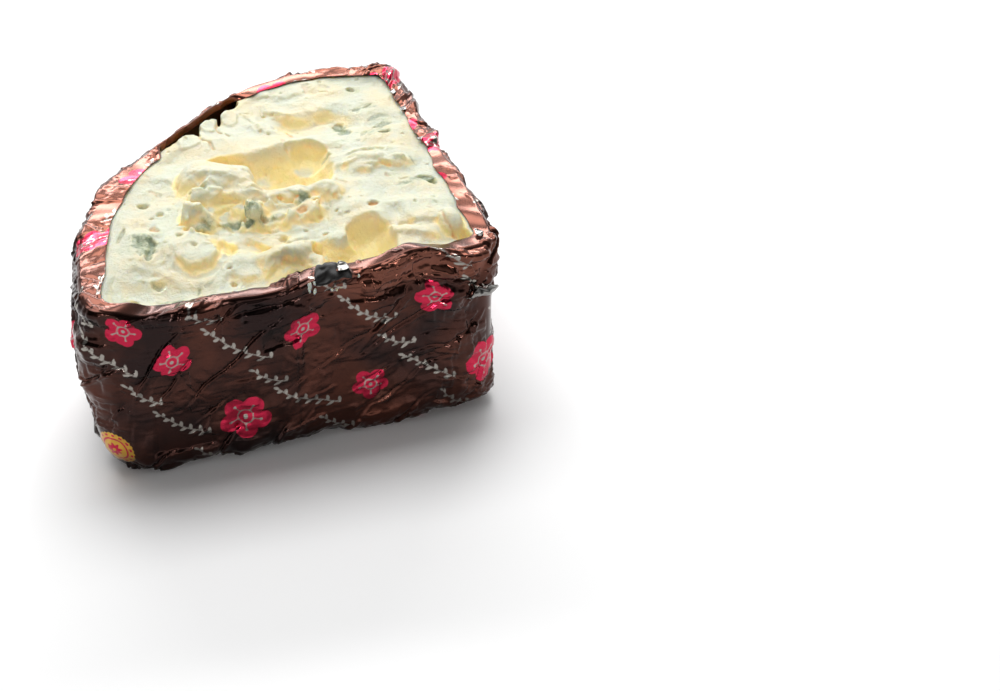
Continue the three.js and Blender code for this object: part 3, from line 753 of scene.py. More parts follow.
# Slits and cracks in the face: their line, half width, depth, mould and stain
SLITS = (
    (((-129, 50), (-131, 46), (-133.5, 42)), 0.9, 1.3, 0.8, 0.3),
    (((-135, 43), (-136, 41)), 0.9, 0.9, 0.6, 0.2),
    (((-124.5, 40), (-124, 37.5)), 1.4, 1.2, 0.7, 0.2),
    (((-120.5, 38), (-122, 33), (-124, 28)), 1.7, 1.8, 1.0, 0.1),
    (((-128, 33), (-127, 30)), 1.2, 1.0, 0.8, 0.1),
    (((-131, 36), (-128, 38), (-126, 43)), 0.7, 0.6, 0.5, 0.0),
    (((-118, 48), (-117, 45)), 1.2, 1.1, 0.1, 0.6),
    (((-121.5, 55), (-121, 54)), 0.8, 0.8, 0.6, 0.1),
    (((-126, 5), (-122, 3.5), (-118, 5)), 0.9, 0.8, 0.9, 0.0),
    (((-120, 3), (-116, 3.2)), 1.8, 1.9, 1.0, 0.0),
    (((-113, 7), (-110, 6), (-109, 8)), 0.8, 0.6, 0.8, 0.0),
    (((-106, 9), (-102, 11)), 0.6, 0.4, 0.6, 0.0),
    (((-113, 75), (-110.5, 72)), 1.5, 0.8, 0.0, 0.45),
    (((-105, 79), (-104, 76)), 1.2, 0.7, 0.0, 0.4),
    (((-103, 74), (-101.5, 72)), 1.1, 0.6, 0.0, 0.35),
    (((-107, 70), (-104, 68), (-103, 71)), 0.9, 0.5, 0.0, 0.3),
    (((-113.5, 87), (-111.5, 84)), 0.6, 0.5, 0.0, 0.4),
    (((-118, 79), (-115, 77)), 0.5, 0.3, 0.0, 0.15),
    (((-108, 97), (-104, 93)), 0.5, 0.3, 0.0, 0.15),
    (((-48.5, 106), (-47.5, 102.5)), 1.0, 1.2, 0.1, 0.9),
    (((-26, 107), (-27, 103), (-26.5, 99)), 1.3, 1.3, 1.0, 0.0),
    (((-28.5, 95), (-25, 94.5)), 1.4, 1.0, 0.9, 0.1),
    (((-22, 87), (-19, 92), (-15.5, 95), (-13, 98)), 1.2, 0.9, 0.9, 0.0),
    (((-24, 85), (-20, 87.5), (-15, 89)), 0.9, 0.8, 0.8, 0.1),
    (((-13, 98), (-9, 98.5), (-6.5, 98)), 1.3, 0.7, 0.8, 0.0),
    (((-14, 103), (-9, 105), (-5.5, 103)), 0.9, 0.5, 0.7, 0.0),
    (((-17, 112), (-13, 112.5), (-10, 114)), 1.1, 0.9, 0.8, 0.0),
    (((-15, 51.5), (-11, 52), (-8, 51)), 1.0, 0.8, 0.7, 0.1),
    (((-8, 51), (-4.5, 48.5), (-3, 45)), 1.1, 1.3, 0.9, 0.1),
    (((-19, 47), (-14, 48)), 0.9, 0.5, 0.7, 0.0),
    (((-20, 56), (-19, 55)), 1.0, 0.9, 0.3, 0.5),
    (((-7, 66), (-6, 60)), 0.7, 0.5, 0.7, 0.0),
    (((-37.5, 80), (-39, 81)), 1.1, 1.0, 0.7, 0.2),
    (((-50, 133), (-46, 137)), 0.7, 0.5, 0.0, 0.3),
    (((-58, 116), (-56, 125), (-51, 131)), 0.7, 0.5, 0.0, 0.15),
    (((-33, 136), (-33.5, 132)), 1.6, 1.2, 0.0, 0.4),
    (((-8, 20), (-8.5, 13), (-6, 7)), 0.7, 0.9, 0.0, 0.5),
    (((-40, 60), (-37, 56)), 0.6, 0.6, 0.0, 0.4),
    (((-91, 64), (-88, 60), (-84, 59)), 0.7, 0.7, 0.2, 0.2),
    (((-80, 72), (-76, 68), (-72, 66)), 0.8, 0.8, 0.0, 0.2),
    (((-97, 63), (-95.5, 61.5)), 1.6, 1.8, 1.0, 0.0),
    (((-57.5, 49), (-56, 47)), 1.0, 0.8, 0.8, 0.0),
)  # fmt: skip


def open_slits(paste):
    """The slits, each a ragged groove in a shallow swelling."""
    for line, width, deep, mould, stain in SLITS:
        groove = paste.streak(line, 1.35 * width, rag=0.75)
        paste.mark(groove, deep=0.75 * deep, vein=mould, stain=stain)
        paste.dug -= 0.12 * paste.streak(line, 2.6 * width, soft=0.9)


def scatter_pits(paste):
    """Small pits and crumbs all over the face, most of them where the paste is broken, and faint scores."""
    rng = np.random.default_rng(61)
    for _ in range(170):
        at = rng.uniform((-146, 2), (0, 140))
        size = rng.uniform(0.5, 1.1)
        half = (size * rng.uniform(1.0, 2.2), size)
        share = paste.spot(at, half, turn=rng.uniform(0.0, 180.0), rag=0.4)
        paste.mark(share, deep=rng.uniform(0.15, 0.7), stain=rng.choice((0.0, 0.0, 0.25)))
    for _ in range(120):
        at = rng.uniform((-104, 0), (-26, 60))
        size = rng.uniform(0.4, 1.0)
        paste.mark(paste.spot(at, (size, size * rng.uniform(1.0, 1.6)), rag=0.4), deep=rng.uniform(-0.6, 0.5))
    for _ in range(26):
        at = rng.uniform((-140, 8), (-4, 134))
        turn = math.radians(rng.normal(25.0, 30.0))
        half = rng.uniform(3.0, 9.0) * np.array([math.cos(turn), math.sin(turn)])
        deep = rng.uniform(-0.18, 0.22)
        paste.dug += deep * paste.streak((at - half, at + half), rng.uniform(0.6, 1.6), soft=0.9)


# Patches of painted yellow shade, on walls and hollows that face away from the light: middle, half sizes, how
# much
PAINTED_SHADE = (
    ((-75, 4), (15, 11), 1.0), ((-38, 20), (11, 14), 0.9), ((-48, 12), (10, 10), 0.5),
    ((-106, 17), (12, 5), 0.3), ((-92, 32), (6, 9), 0.6), ((-62, 20), (5, 9), 0.35),
)  # fmt: skip

# Patches of blue mould: middle, half sizes, strength
MOULD = (
    ((-97, 44), (11, 4.5), 0.8), ((-84, 44), (14, 5), 1.0), ((-73, 42), (8, 4), 0.6),
    ((-125, 36), (13, 11), 1.0), ((-131, 27), (6, 5), 0.6), ((-119, 4), (10, 5), 1.0),
    ((-105, 9), (12, 5), 0.35), ((-98, 24), (8, 5), 0.25), ((-26, 101), (5, 8), 0.9),
    ((-16, 93), (11, 7), 0.8), ((-10, 100), (9, 6), 0.6), ((-12, 113), (9, 6), 0.6),
    ((-13, 127), (5, 3), 0.5), ((-10, 49), (10, 5), 0.75), ((-8, 66), (7, 8), 0.35),
    ((-57, 47), (4, 3), 0.7), ((-45, 106), (4, 3), 0.4), ((-66, 84), (12, 7), 0.3),
    ((-50, 70), (9, 6), 0.5), ((-60, 62), (10, 5), 0.4), ((-96, 62), (5, 3), 0.8),
    ((-38, 81), (4, 3), 0.6), ((-18, 75), (12, 5), 0.3),
)  # fmt: skip


def grow_mould(paste):
    """The patches of mould, and the patches of painted yellow shade."""
    for at, half, strength in MOULD:
        paste.mould = np.maximum(paste.mould, strength * paste.spot(at, half, rag=0.25, soft=0.85))
    for at, half, strength in PAINTED_SHADE:
        paste.painted_shade = np.maximum(paste.painted_shade, strength * paste.spot(at, half, rag=0.2, soft=0.8))


def blurred(values, size):
    """Values of a grid, averaged twice over a square of a given half size in cells."""
    for _ in range(2):
        for axis in (0, 1):
            ends = [np.repeat(values.take([end], axis), size + 1, axis) for end in (0, -1)]
            total = np.cumsum(np.concatenate([ends[0], values, ends[1]], axis), axis, dtype=np.float64)
            count = values.shape[axis]
            ahead = total.take(np.arange(2 * size + 1, 2 * size + 1 + count), axis)
            behind = total.take(np.arange(0, count), axis)
            values = (ahead - behind) / (2 * size + 1)
    return values


# Maps of how far the surface lies below what is around it, which the material paints with yellow shade: size of
# the surroundings and depth of a full tone
DEPTH_MAPS = {"hollow": (9.0, 7.0), "crease": (2.2, 1.6)}
PAINTED_SHADE_TONE = 0.45  # share of a full tone of painted shade that these patches add on top, where they don't stand up


def make_cheese(settings):
    """The paste's mesh, with maps of its hollows, creases and steep slopes, where its material paints yellow
    shade, and of its mould, veins and stains.
    """
    paste = shape_paste(settings.grain)
    points, faces = paste.surface()
    cheese = make_piece("cheese_paste", points, faces, paste_material(settings))
    level = paste.level()
    level = np.where(level > 1.0, level, CUT_HEIGHT)
    for name, (around, deep) in DEPTH_MAPS.items():
        below = paste.sample(blurred(level, round(around / settings.grain)), points) - points[:, 2]
        if name == "hollow":
            # the patches of painted yellow shade deepen the hollow map, which the material tints as shade
            lies_low = below / deep > -1.0 / 7.0
            below += deep * lies_low * PAINTED_SHADE_TONE * paste.sample(paste.painted_shade, points)
        give_attribute(cheese, name, np.clip(below / deep, -1.0, 1.0))
    across, along = np.gradient(blurred(level, 2), settings.grain)
    # steep slopes get painted yellow shade in the material
    give_attribute(cheese, "steep", ramp(paste.sample(np.hypot(across, along), points), 0.12, 0.9))
    for name in ("mould", "vein", "stain"):
        give_attribute(cheese, name, paste.sample(getattr(paste, name), points))
    thin_out_hidden(cheese, points)
    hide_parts("cheese")


def thin_out_hidden(cheese, points):
    """Leaves a tenth of the faces where the foil hides the cheese."""
    hidden = cheese.vertex_groups.new(name="hidden")
    below = np.nonzero(points[:, 2] < Paste.HIDDEN)[0]
    hidden.add(below.tolist(), 1.0, "REPLACE")
    thin_out = cheese.modifiers.new("thin_out", "DECIMATE")
    thin_out.ratio = 1.0 - 0.9 * len(below) / len(points)
    thin_out.vertex_group = hidden.name
    apply_modifiers(cheese)
    cheese.vertex_groups.clear()


def tint(tree, colour, layers, **settings):
    """Lays tints over a colour, one after the other. Each layer has a share, the two values of it between which
    the tint comes in, how much of it there is at most, and the tint."""
    for share, low, high, most, over in layers:
        ends = {"Value": share, "From Min": low, "From Max": high, "To Max": most}
        shown = add_node(tree, "ShaderNodeMapRange", ends, **settings)
        mixed = {0: shown, 6: colour, 7: over}
        colour = add_node(tree, "ShaderNodeMix", mixed, out=2, data_type="RGBA")
    return colour


def paste_material(settings):
    """Blue cheese paste, cut and spooned: moist cream that light sinks into, with yellow shade painted into its
    hollows, creases and steep slopes, and blue-green mould in its holes and cracks. Its riper clouds are about
    17 mm wide, its specks 3 mm and its pores 1 mm, and the threads of mould run about 5 mm apart."""
    material, tree = new_material(PASTE)
    place = add_node(tree, "ShaderNodeTexCoord", out=3)
    hollow, crease, steep, mould, vein, stain = (
        add_node(tree, "ShaderNodeAttribute", out=2, attribute_name=name)
        for name in ("hollow", "crease", "steep", "mould", "vein", "stain")
    )
    cloud, speck, thread, pores = (
        add_node(tree, "ShaderNodeTexNoise", {"Vector": place, "Scale": 1.0 / (size * MM), **kind})
        for size, kind in (
            (17.0, {"Detail": 4.0, "Roughness": 0.6}),
            (3.2, {"Detail": 5.0, "Roughness": 0.7}),
            (5.5, {"Detail": 3.0, "Distortion": 0.8}),
            (1.1, {"Detail": 3.0}),
        )
    )

    # painted yellow shade: on steep slopes and in hollows
    yellow_shade_share = add_node(tree, "ShaderNodeMath", {0: steep, 1: 0.75, 2: hollow}, operation="MULTIPLY_ADD")
    blotched = add_node(tree, "ShaderNodeMath", {0: mould, 1: 0.5, 2: speck}, operation="MULTIPLY_ADD")
    off_thread = add_node(tree, "ShaderNodeMath", {0: thread, 1: 0.5}, operation="SUBTRACT")
    off_thread = add_node(tree, "ShaderNodeMath", {0: off_thread}, operation="ABSOLUTE")
    thread_width = add_node(tree, "ShaderNodeMath", {0: mould, 1: 0.065}, operation="MULTIPLY")
    threaded = add_node(tree, "ShaderNodeMath", {0: thread_width, 1: off_thread}, operation="SUBTRACT")
    stained = add_node(tree, "ShaderNodeMath", {0: stain, 1: speck}, operation="MULTIPLY")
    veined = add_node(tree, "ShaderNodeMath", {0: vein, 1: speck}, operation="MULTIPLY")
    layers = (
        (cloud, 0.38, 0.66, 1.0, settings.ripe),
        # painted yellow shade in hollows, creases and on steep slopes
        (yellow_shade_share, 0.17, 0.9, 1.0, settings.hollow),
        (crease, 0.05, 0.7, 0.75, settings.hollow),
        (mould, 0.0, 0.9, 0.8, paint("#C2C6AA")),
        (blotched, 0.72, 1.06, 0.75, settings.mould),
        (threaded, 0.0, 0.045, 0.5, settings.mould),
        (stained, 0.05, 0.5, 0.8, paint("#CF9A4E")),
        (veined, 0.12, 0.6, 0.75, settings.mould),
    )
    colour = tint(tree, settings.cream, layers, interpolation_type="SMOOTHSTEP")
    grain = add_node(tree, "ShaderNodeMath", {0: speck, 1: 2.0, 2: pores}, operation="MULTIPLY_ADD")
    bump = add_node(tree, "ShaderNodeBump", {"Height": grain, "Strength": 0.6, "Distance": 0.6 * MM})
    shader = add_node(
        tree,
        "ShaderNodeBsdfPrincipled",
        {
            "Base Color": colour,
            "Roughness": 0.4,
            "IOR": 1.45,
            "Subsurface Weight": 0.75,
            "Subsurface Radius": (1.0, 0.75, 0.4),
            "Subsurface Scale": 5.0 * MM,
            "Normal": bump,
        },
    )
    add_node(tree, "ShaderNodeOutputMaterial", {"Surface": shader})
    return material


# ===== The foil

def facets(s, v, length, size, seed, slope=1.0):
    """Crumpled flats, between about -1 and 1: each point lies on the highest of the tilted planes near it."""
    cell_s, cell_v = whole_cell(length, size[0]), size[1]
    columns, rows = int(round(length / cell_s)), int((v.max() - v.min()) / cell_v) + 4
    rng = np.random.default_rng(seed)
    place = rng.uniform(0.0, 1.0, (columns, rows, 2))
    tilt = slope * rng.uniform(-1.0, 1.0, (columns, rows, 2))
    lift = rng.uniform(-0.35, 0.35, (columns, rows))
    at_s, at_v = (s / cell_s)[:, None], (v - v.min()) / cell_v + 1.0
    column, row = np.floor(at_s).astype(int), np.floor(at_v).astype(int)
    highest = np.full(v.shape, -9.0)
    for i in (-1, 0, 1):
        for j in (-1, 0, 1):
            c, r = (column + i) % columns, np.clip(row + j, 0, rows - 1)
            away_s, away_v = at_s - column - i - place[c, r, 0], at_v - row - j - place[c, r, 1]
            plane = lift[c, r] + tilt[c, r, 0] * away_s + tilt[c, r, 1] * away_v
            highest = np.maximum(highest, plane - 0.55 * (away_s**2 + away_v**2))
    return highest - 0.05


def folds(s, v, length, size, seed, slope=1.0):
    """Facets that meet in ridges as well as in valleys."""
    ridges = facets(s, v, length, size, seed, slope)
    return ridges - facets(s, v, length, (1.13 * size[0], 1.07 * size[1]), seed + 500, slope)


def creases(s, v, length, count, seed, reach_mm, tilt, spread, width):
    """Sharp creases strewn over the sheet: a narrow groove from 0 to about -1 with a low ridge beside it."""
    rng = np.random.default_rng(seed)
    depth = np.zeros(v.shape)
    for _ in range(count):
        at_s, at_v = rng.uniform(0.0, length), rng.uniform(v.min(), v.max())
        half = reach_mm * rng.uniform(0.35, 1.0)
        turn = math.radians(tilt + spread * rng.uniform(-1.0, 1.0))
        bend, phase, wide = 0.006 * rng.uniform(-1, 1), rng.uniform(0, 6), width * rng.uniform(0.7, 1.4)
        away_s = (s - at_s + length / 2) % length - length / 2
        near = np.nonzero(np.abs(away_s) < half + 4.0)[0]
        away_s, away_v = away_s[near][:, None], v[near] - at_v
        along = away_s * math.cos(turn) + away_v * math.sin(turn)
        across = -away_s * math.sin(turn) + away_v * math.cos(turn)
        across = across + bend * along**2 + 0.7 * np.sin(along / 4.0 + phase)
        ridge = 0.45 * np.exp(-(((across - 1.9 * wide) / (1.3 * wide)) ** 2))
        profile = ridge - np.exp(-np.abs(across) / wide)
        fade = (1.0 - ramp(np.abs(along), 0.4 * half, half)) * rng.uniform(0.5, 1.0)
        depth[near] += profile * fade
    return np.maximum(depth, -1.3)


class Sheet:
    """The foil as a grid of points: columns round the wedge, rows from the lip's edge to under the base."""

    ROWS = {"lip": 16, "shoulder": 9, "wall": 122, "round": 20, "base": 12}
    SHOULDER = 2.6  # rounding of the rim
    STAND = 0.8  # how far the crumpled sheet stands off its tightest form, on average
    BASE_REACH = 26.0  # how far under the wedge the fine rows run
    INNER_STEP = 5  # the inside has this many times fewer columns and rows

    def __init__(self, columns):
        self.outline = Outline(columns)
        self.s = self.outline.s
        self.build()

    def build(self):
        """The plain form: for each column and row, how far out of the cheese's side it is and how high."""
        o = self.outline
        rim, gap = rim_height(o), gap_share(o.turn)
        lip = lip_width(o) * (1.0 - 0.93 * gap)
        low = lower_round(o.x, o.y)
        wall_out = COVER + self.STAND
        top_out = wall_out + 0.5 - 2.6 * ramp(o.x, -10.0, 5.0) * ramp(o.y, 20.0, 110.0)
        out, height, inset = [], [], []

        def add_row(row_out, row_height, row_inset):
            """A row round the wedge, and how far inside it the sheet's inner face lies."""
            out.append(np.broadcast_to(row_out, o.s.shape))
            height.append(np.broadcast_to(row_height, o.s.shape))
            inset.append(row_inset)

        for t in np.arange(self.ROWS["lip"]) / self.ROWS["lip"]:
            inner, outer = -lip, top_out - self.SHOULDER
            add_row(inner + (outer - inner) * t**1.2, rim - (0.4 + 2.6 * gap) * (1.0 - t) ** 2.2, 0.35)
        for t in np.arange(self.ROWS["shoulder"]) / self.ROWS["shoulder"]:
            angle = math.pi / 2 * t
            drop = self.SHOULDER * (1.0 - math.cos(angle))
            add_row(top_out - self.SHOULDER * (1.0 - math.sin(angle)), rim - drop, 0.35 + 1.25 * t)
        for t in np.arange(self.ROWS["wall"]) / self.ROWS["wall"]:
            row_out = wall_out + (top_out - wall_out) * (1.0 - t) ** 2
            add_row(row_out, (rim - self.SHOULDER) * (1.0 - t) + low * t, 1.6)
        for t in np.arange(self.ROWS["round"]) / self.ROWS["round"]:
            angle = math.pi / 2 * t
            row_out = COVER + self.STAND * (1.0 - t) - low * (1.0 - math.cos(angle))
            add_row(row_out, low * (1.0 - math.sin(angle)), 1.6 - 0.6 * t)
        for t in np.arange(self.ROWS["base"] + 1) / self.ROWS["base"]:
            add_row(COVER - low - self.BASE_REACH * t, 0.0, 1.0)
        self.out, self.height, self.inset = np.stack(out, 1), np.stack(height, 1), np.array(inset)
        travel = np.hypot(np.diff(self.out, axis=1), np.diff(self.height, axis=1))
        run = np.concatenate([np.zeros((len(o.s), 1)), np.cumsum(travel, 1)], 1)
        rim_row = self.ROWS["lip"] + self.ROWS["shoulder"] // 2
        self.v = run - run[:, rim_row][:, None]  # 0 along the rim, counted down the outside

    def relief(self, share):
        """How far the crumpled foil stands off the plain form, in millimetres."""
        s, v, o, length = self.s, self.v, self.outline, self.outline.length
        front, right = o.on_front[:, None], ramp(o.x, -30.0, 0.0)[:, None]
        left = (hump(o.turn, 6.0, 26.0) * ramp(-o.x, 134.0, 148.0))[:, None] * ramp(v, -3.0, 6.0)
        at_rim = np.exp(-(((v - 4.0) / 9.0) ** 2))
        at_foot = ramp(v, 54.0, 74.0)
        on_lip = 1.0 - ramp(v, -3.0, 1.0)
        bunched = self.bunched(20.0)
        rough = 0.6 + 0.7 * at_rim + 0.3 * at_foot + 0.2 * right + 0.3 * left + 0.9 * bunched
        rough = np.clip(rough, 0.0, 1.9) * (1.0 - 0.7 * on_lip * o.on_rind[:, None])
        # Depth, width and height of the folds, seed, steepness, and where they are
        folded = (
            (2.4, (34.0, 28.0), 51, 0.9, 1.0 - 0.5 * np.maximum(right, left)),
            (1.5, (15.0, 12.0), 52, 1.2, 0.5 + 0.5 * rough),
            (0.75, (7.0, 6.0), 53, 1.3, rough),
            (0.32, (3.4, 2.8), 54, 1.8, rough),
            (1.3, (10.0, 4.4), 60, 2.0, bunched),
            (0.8, (6.0, 19.0), 55, 1.5, left),
            (0.6, (15.0, 3.2), 56, 1.4, at_rim),
        )
        # Depth and number of creases, seed, half length, slant and its spread in degrees, width, where they are
        creased = (
            (1.8, 64, 57, 42.0, 44.0, 18.0, 0.5, 1.0),
            (1.0, 80, 58, 20.0, 0.0, 80.0, 0.45, 1.0),
            (0.6, 260, 59, 9.0, 20.0, 90.0, 0.4, np.clip(rough + 0.2, 0.0, 1.0)),
        )
        relief = self.hem(front, right)
        for draw, layers in ((folds, folded), (creases, creased)):
            for depth, *shape, share_there in layers:
                relief += depth * draw(s, v, length, *shape) * share_there
        under = ramp(v, v.max() - self.BASE_REACH - 14.0, v.max() - self.BASE_REACH - 2.0)
        seal_s, seal_v = self.seal_place()
        from_seal = np.hypot((s - seal_s)[:, None], v - seal_v)
        relief = relief.mean() + (relief - relief.mean()) * (0.25 + 0.75 * ramp(from_seal, 7.0, 14.0))
        corner = (hump(o.x, 2.0, 16.0) * (1.0 - ramp(o.y, *CORNER)))[:, None]
        relief = share * (relief - relief.mean() - 1.2 * corner) * (1.0 - under)
        closest = np.repeat(0.25 - self.inset[None, :], len(s), 0)
        first = self.ROWS["lip"] + self.ROWS["shoulder"]
        wall = slice(first - 3, first + self.ROWS["wall"])
        closest[:, wall] = np.maximum(closest[:, wall], 0.35 - self.out[:, wall])  # never through the cheese
        return np.maximum(relief, closest)

    def front_place(self, x):
        """How far along the sheet its front side is at an X."""
        front = slice(0, len(self.s) // 3)
        return np.interp(-x, -self.outline.x[front], self.s[front])

    def seal_place(self):
        """Where the seal sits on the sheet: low down at the left end of the front."""
        return self.front_place(-141.0) + 6.5, 65.0

    def bunched(self, low):
        """1 where the foil is bunched up along the front rim towards the right, 0 lower down than low."""
        across = ramp(self.outline.x, -72.0, -48.0) * self.outline.on_front
        return across[:, None] * ramp(self.v, -3.0, 1.0) * (1.0 - ramp(self.v, 0.55 * low, low))

    def turned_edge(self, edge, low, high, groove):
        """One more layer of foil: it comes in between two distances down the sheet, and ends in a sharp edge
        with a groove along it."""
        past = self.v - edge[:, None]
        layer = 0.8 * (1.0 - ramp(past, -0.5, 0.5)) * ramp(self.v, low, high)
        return layer - groove * np.exp(-((past / 0.7) ** 2))

    def hem(self, front, right):
        """The turned-over edges of the foil: a band under the rim, and a lap by the front right corner."""
        s, o, length = self.s, self.outline, self.outline.length
        edge = 6.5 + 6.0 * ramp(o.x, -72.0, -40.0)
        edge += 1.4 * periodic_noise(s, length, 22.0, 71) + 0.8 * periodic_noise(s, length, 6.0, 72)
        band = np.maximum(front, right) * self.turned_edge(edge, -3.0, 2.0, 0.9)
        lap_edge = 21.0 + 1.5 * periodic_noise(s, length, 9.0, 73)
        near_corner = (ramp(o.x, -34.0, -16.0) * (1.0 - ramp(o.y, *CORNER)))[:, None]
        return band + near_corner * self.turned_edge(lap_edge, 8.0, 14.0, 0.7)

    def place(self, out, height):
        """Points from their distance out of the cheese's side and their height, a row of each for a column."""
        o = self.outline
        stand = out + slump(o.x[:, None], o.y[:, None], height)
        x = o.x[:, None] + o.outward[:, 0][:, None] * stand
        y = o.y[:, None] + o.outward[:, 1][:, None] * stand
        return np.stack([x, y, height], 2)

    def skin(self, stand_off):
        """The form's points, moved off it along the normal by a distance for each point."""
        step_out, step_up = np.gradient(self.out, axis=1), np.gradient(self.height, axis=1)
        size = np.hypot(step_out, step_up) + 1e-9
        out = self.out - stand_off * step_up / size
        height = self.height + stand_off * step_out / size
        return self.place(out, height)


def close_sheet(outer, inner, step):
    """Points and faces of a closed shell: a fine outside and a coarse inside, joined along the lip's edge."""
    columns, rows = outer.shape[:2]
    few, inner_rows = inner.shape[:2]
    first_inner = columns * rows + 1
    points = np.concatenate([outer.reshape(-1, 3), [[*MIDDLE, 0.0]], inner.reshape(-1, 3), [[*MIDDLE, 1.0]]])
    faces = []
    for i in range(columns):
        a, b = i * rows, (i + 1) % columns * rows
        faces += [(a + r, a + r + 1, b + r + 1, b + r) for r in range(rows - 1)]
        faces.append((a + rows - 1, columns * rows, b + rows - 1))
        faces.append((a, b, first_inner + i // step * inner_rows))
    for k in range(few):
        a, b = first_inner + k * inner_rows, first_inner + (k + 1) % few * inner_rows
        faces += [(a + r, b + r, b + r + 1, a + r + 1) for r in range(inner_rows - 1)]
        faces.append((a + inner_rows - 1, b + inner_rows - 1, len(points) - 1))
        faces.append((a, (k + 1) * step % columns * rows, b))
    return points, faces


def make_foil(settings):
    """The crumpled, printed foil round the wedge, with the hem that is turned over its edge."""
    sheet = Sheet(settings.columns)
    outer = sheet.skin(sheet.relief(settings.crumple))
    outer[:, :, 2] = np.maximum(outer[:, :, 2], 0.0)
    step = Sheet.INNER_STEP
    rows = [*range(0, outer.shape[1] - 1, step), outer.shape[1] - 1]
    inner = sheet.skin(np.broadcast_to(-sheet.inset, sheet.v.shape))[::step, rows]
    inner[:, -3:, 2] = np.maximum(inner[:, -3:, 2], 0.6)
    points, faces = close_sheet(outer, inner, step)
    material = foil_material("Lacquered foil, printed", settings)
    foil = make_piece("printed_foil", points, faces, material)
    maps = print_maps(sheet)
    # painted sheen on the lip and the bunched rim
    maps["worn"] = painted_sheen_map(sheet)
    inside = np.full(len(points) - outer.shape[0] * outer.shape[1], -PRINT_DEPTH)
    for name, values in maps.items():
        give_attribute(foil, name, np.concatenate([values.ravel(), inside]))
    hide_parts("foil_wrap")


def painted_sheen_map(sheet):
    """Where a lighter lacquer colour is painted as sheen: on the lip, which faces the light above, and where the
    rim is bunched up, less along the front and at the front left corner.
    """
    outline = sheet.outline
    over = sheet.v - 3.5 * gap_share(outline.turn)[:, None]
    worn = (1.0 - ramp(over, -3.5, 2.5)) * (1.0 - 0.7 * outline.on_front[:, None])
    # less painted sheen at the front left corner, as painted shade
    worn *= 1.0 - 0.4 * hump(outline.turn, 4.0, 18.0)[:, None]
    return np.maximum(worn, 0.75 * sheet.bunched(15.0))


# --- The print: depths inside its shapes, in mm, positive inside and negative outside, one for each ink

PRINT_DEPTH = 3.0  # depths further from a shape's edge than this aren't kept
PRINT_ROWS = (-13.0, 21.0, 55.0, 89.0)  # down the sheet from the rim
PRINT_PITCH = 47.0  # along it
SPRIG_TURN = -0.62  # radians; the sprigs fall towards the right
SEAL_RADIUS = 8.2
CLEAR_OF_SEAL = 22.0  # blossoms keep this far from its middle

# Blossoms that the hem has brought up to the rim: the outline's point nearest to them, how far down the sheet
# they are, radius
RIM_BLOSSOMS = (((-139, 0), 7.0, 7.0), ((-145, 43), -4.0, 7.5), ((4, 73), -3.0, 7.0), ((8, 132), -3.0, 7.0))


def blossom(x, y, radius):
    """Five round petals, and the pale heart and stamens at their middle."""
    away, turn = np.hypot(x, y), np.arctan2(y, x)
    nearest = np.round(turn / (0.4 * math.pi)) * 0.4 * math.pi
    along, beside = away * np.cos(turn - nearest), np.abs(away * np.sin(turn - nearest))
    petals = 0.4 * radius - np.hypot(along - 0.58 * radius, beside)
    petals = np.maximum(petals, 0.5 * radius - away)
    ring = 0.28 - np.abs(away - 0.3 * radius)
    stamens = np.minimum(0.26 - beside, np.minimum(along - 0.3 * radius, 0.56 * radius - along))
    tips = 0.05 * radius + 0.1 - np.hypot(beside, along - 0.6 * radius)
    return petals, np.maximum(np.maximum(ring, 0.1 * radius - away), np.maximum(stamens, tips))


def leaf(x, y, length, wide):
    """A pointed leaf from the origin along X."""
    t = np.clip(x / length, 0.0, 1.0)
    edge = wide * np.sin(math.pi * t) ** 0.8
    past = np.maximum(np.abs(x - length / 2) - length / 2, 0.0)
    return edge - np.abs(y) - past


def sprig(x, y, length, leaves):
    """A curved stem with small leaves along both sides and one at its tip."""
    t = np.clip(x / length + 0.5, 0.0, 1.0)
    y = y - 0.07 * length * np.sin(math.pi * t)
    past = np.maximum(np.abs(x) - length / 2, 0.0)
    depth = 0.28 - np.hypot(y, past)
    for i in range(leaves):
        start = length * (i / leaves - 0.5)
        turn = (0.9 if i % 2 else -0.9) * (1.0 - 0.3 * i / leaves)
        u = x - start
        along, across = u * math.cos(turn) + y * math.sin(turn), y * math.cos(turn) - u * math.sin(turn)
        depth = np.maximum(depth, leaf(along, across, 3.6 - 1.2 * i / leaves, 0.62))
    return (np.maximum(depth, leaf(x - 0.47 * length, y, 3.0, 0.6)),)


def seal(x, y, radius):
    """A gold seal with a scalloped edge, and the crimson ring, beads and rosette on it."""
    away, turn = np.hypot(x, y), np.arctan2(y, x)
    gold = radius + 0.035 * radius * np.cos(28 * turn) - away
    ring = 0.05 * radius - np.abs(away - 0.66 * radius)
    beads = np.minimum(0.06 * radius - np.abs(away - 0.86 * radius), radius * 0.1 * np.cos(14 * turn))
    rosette = 0.34 * radius * (1.0 + 0.28 * np.cos(8 * turn)) - away
    heart = 0.1 * radius - away
    return gold, np.minimum(np.maximum(np.maximum(ring, beads), rosette), -heart)


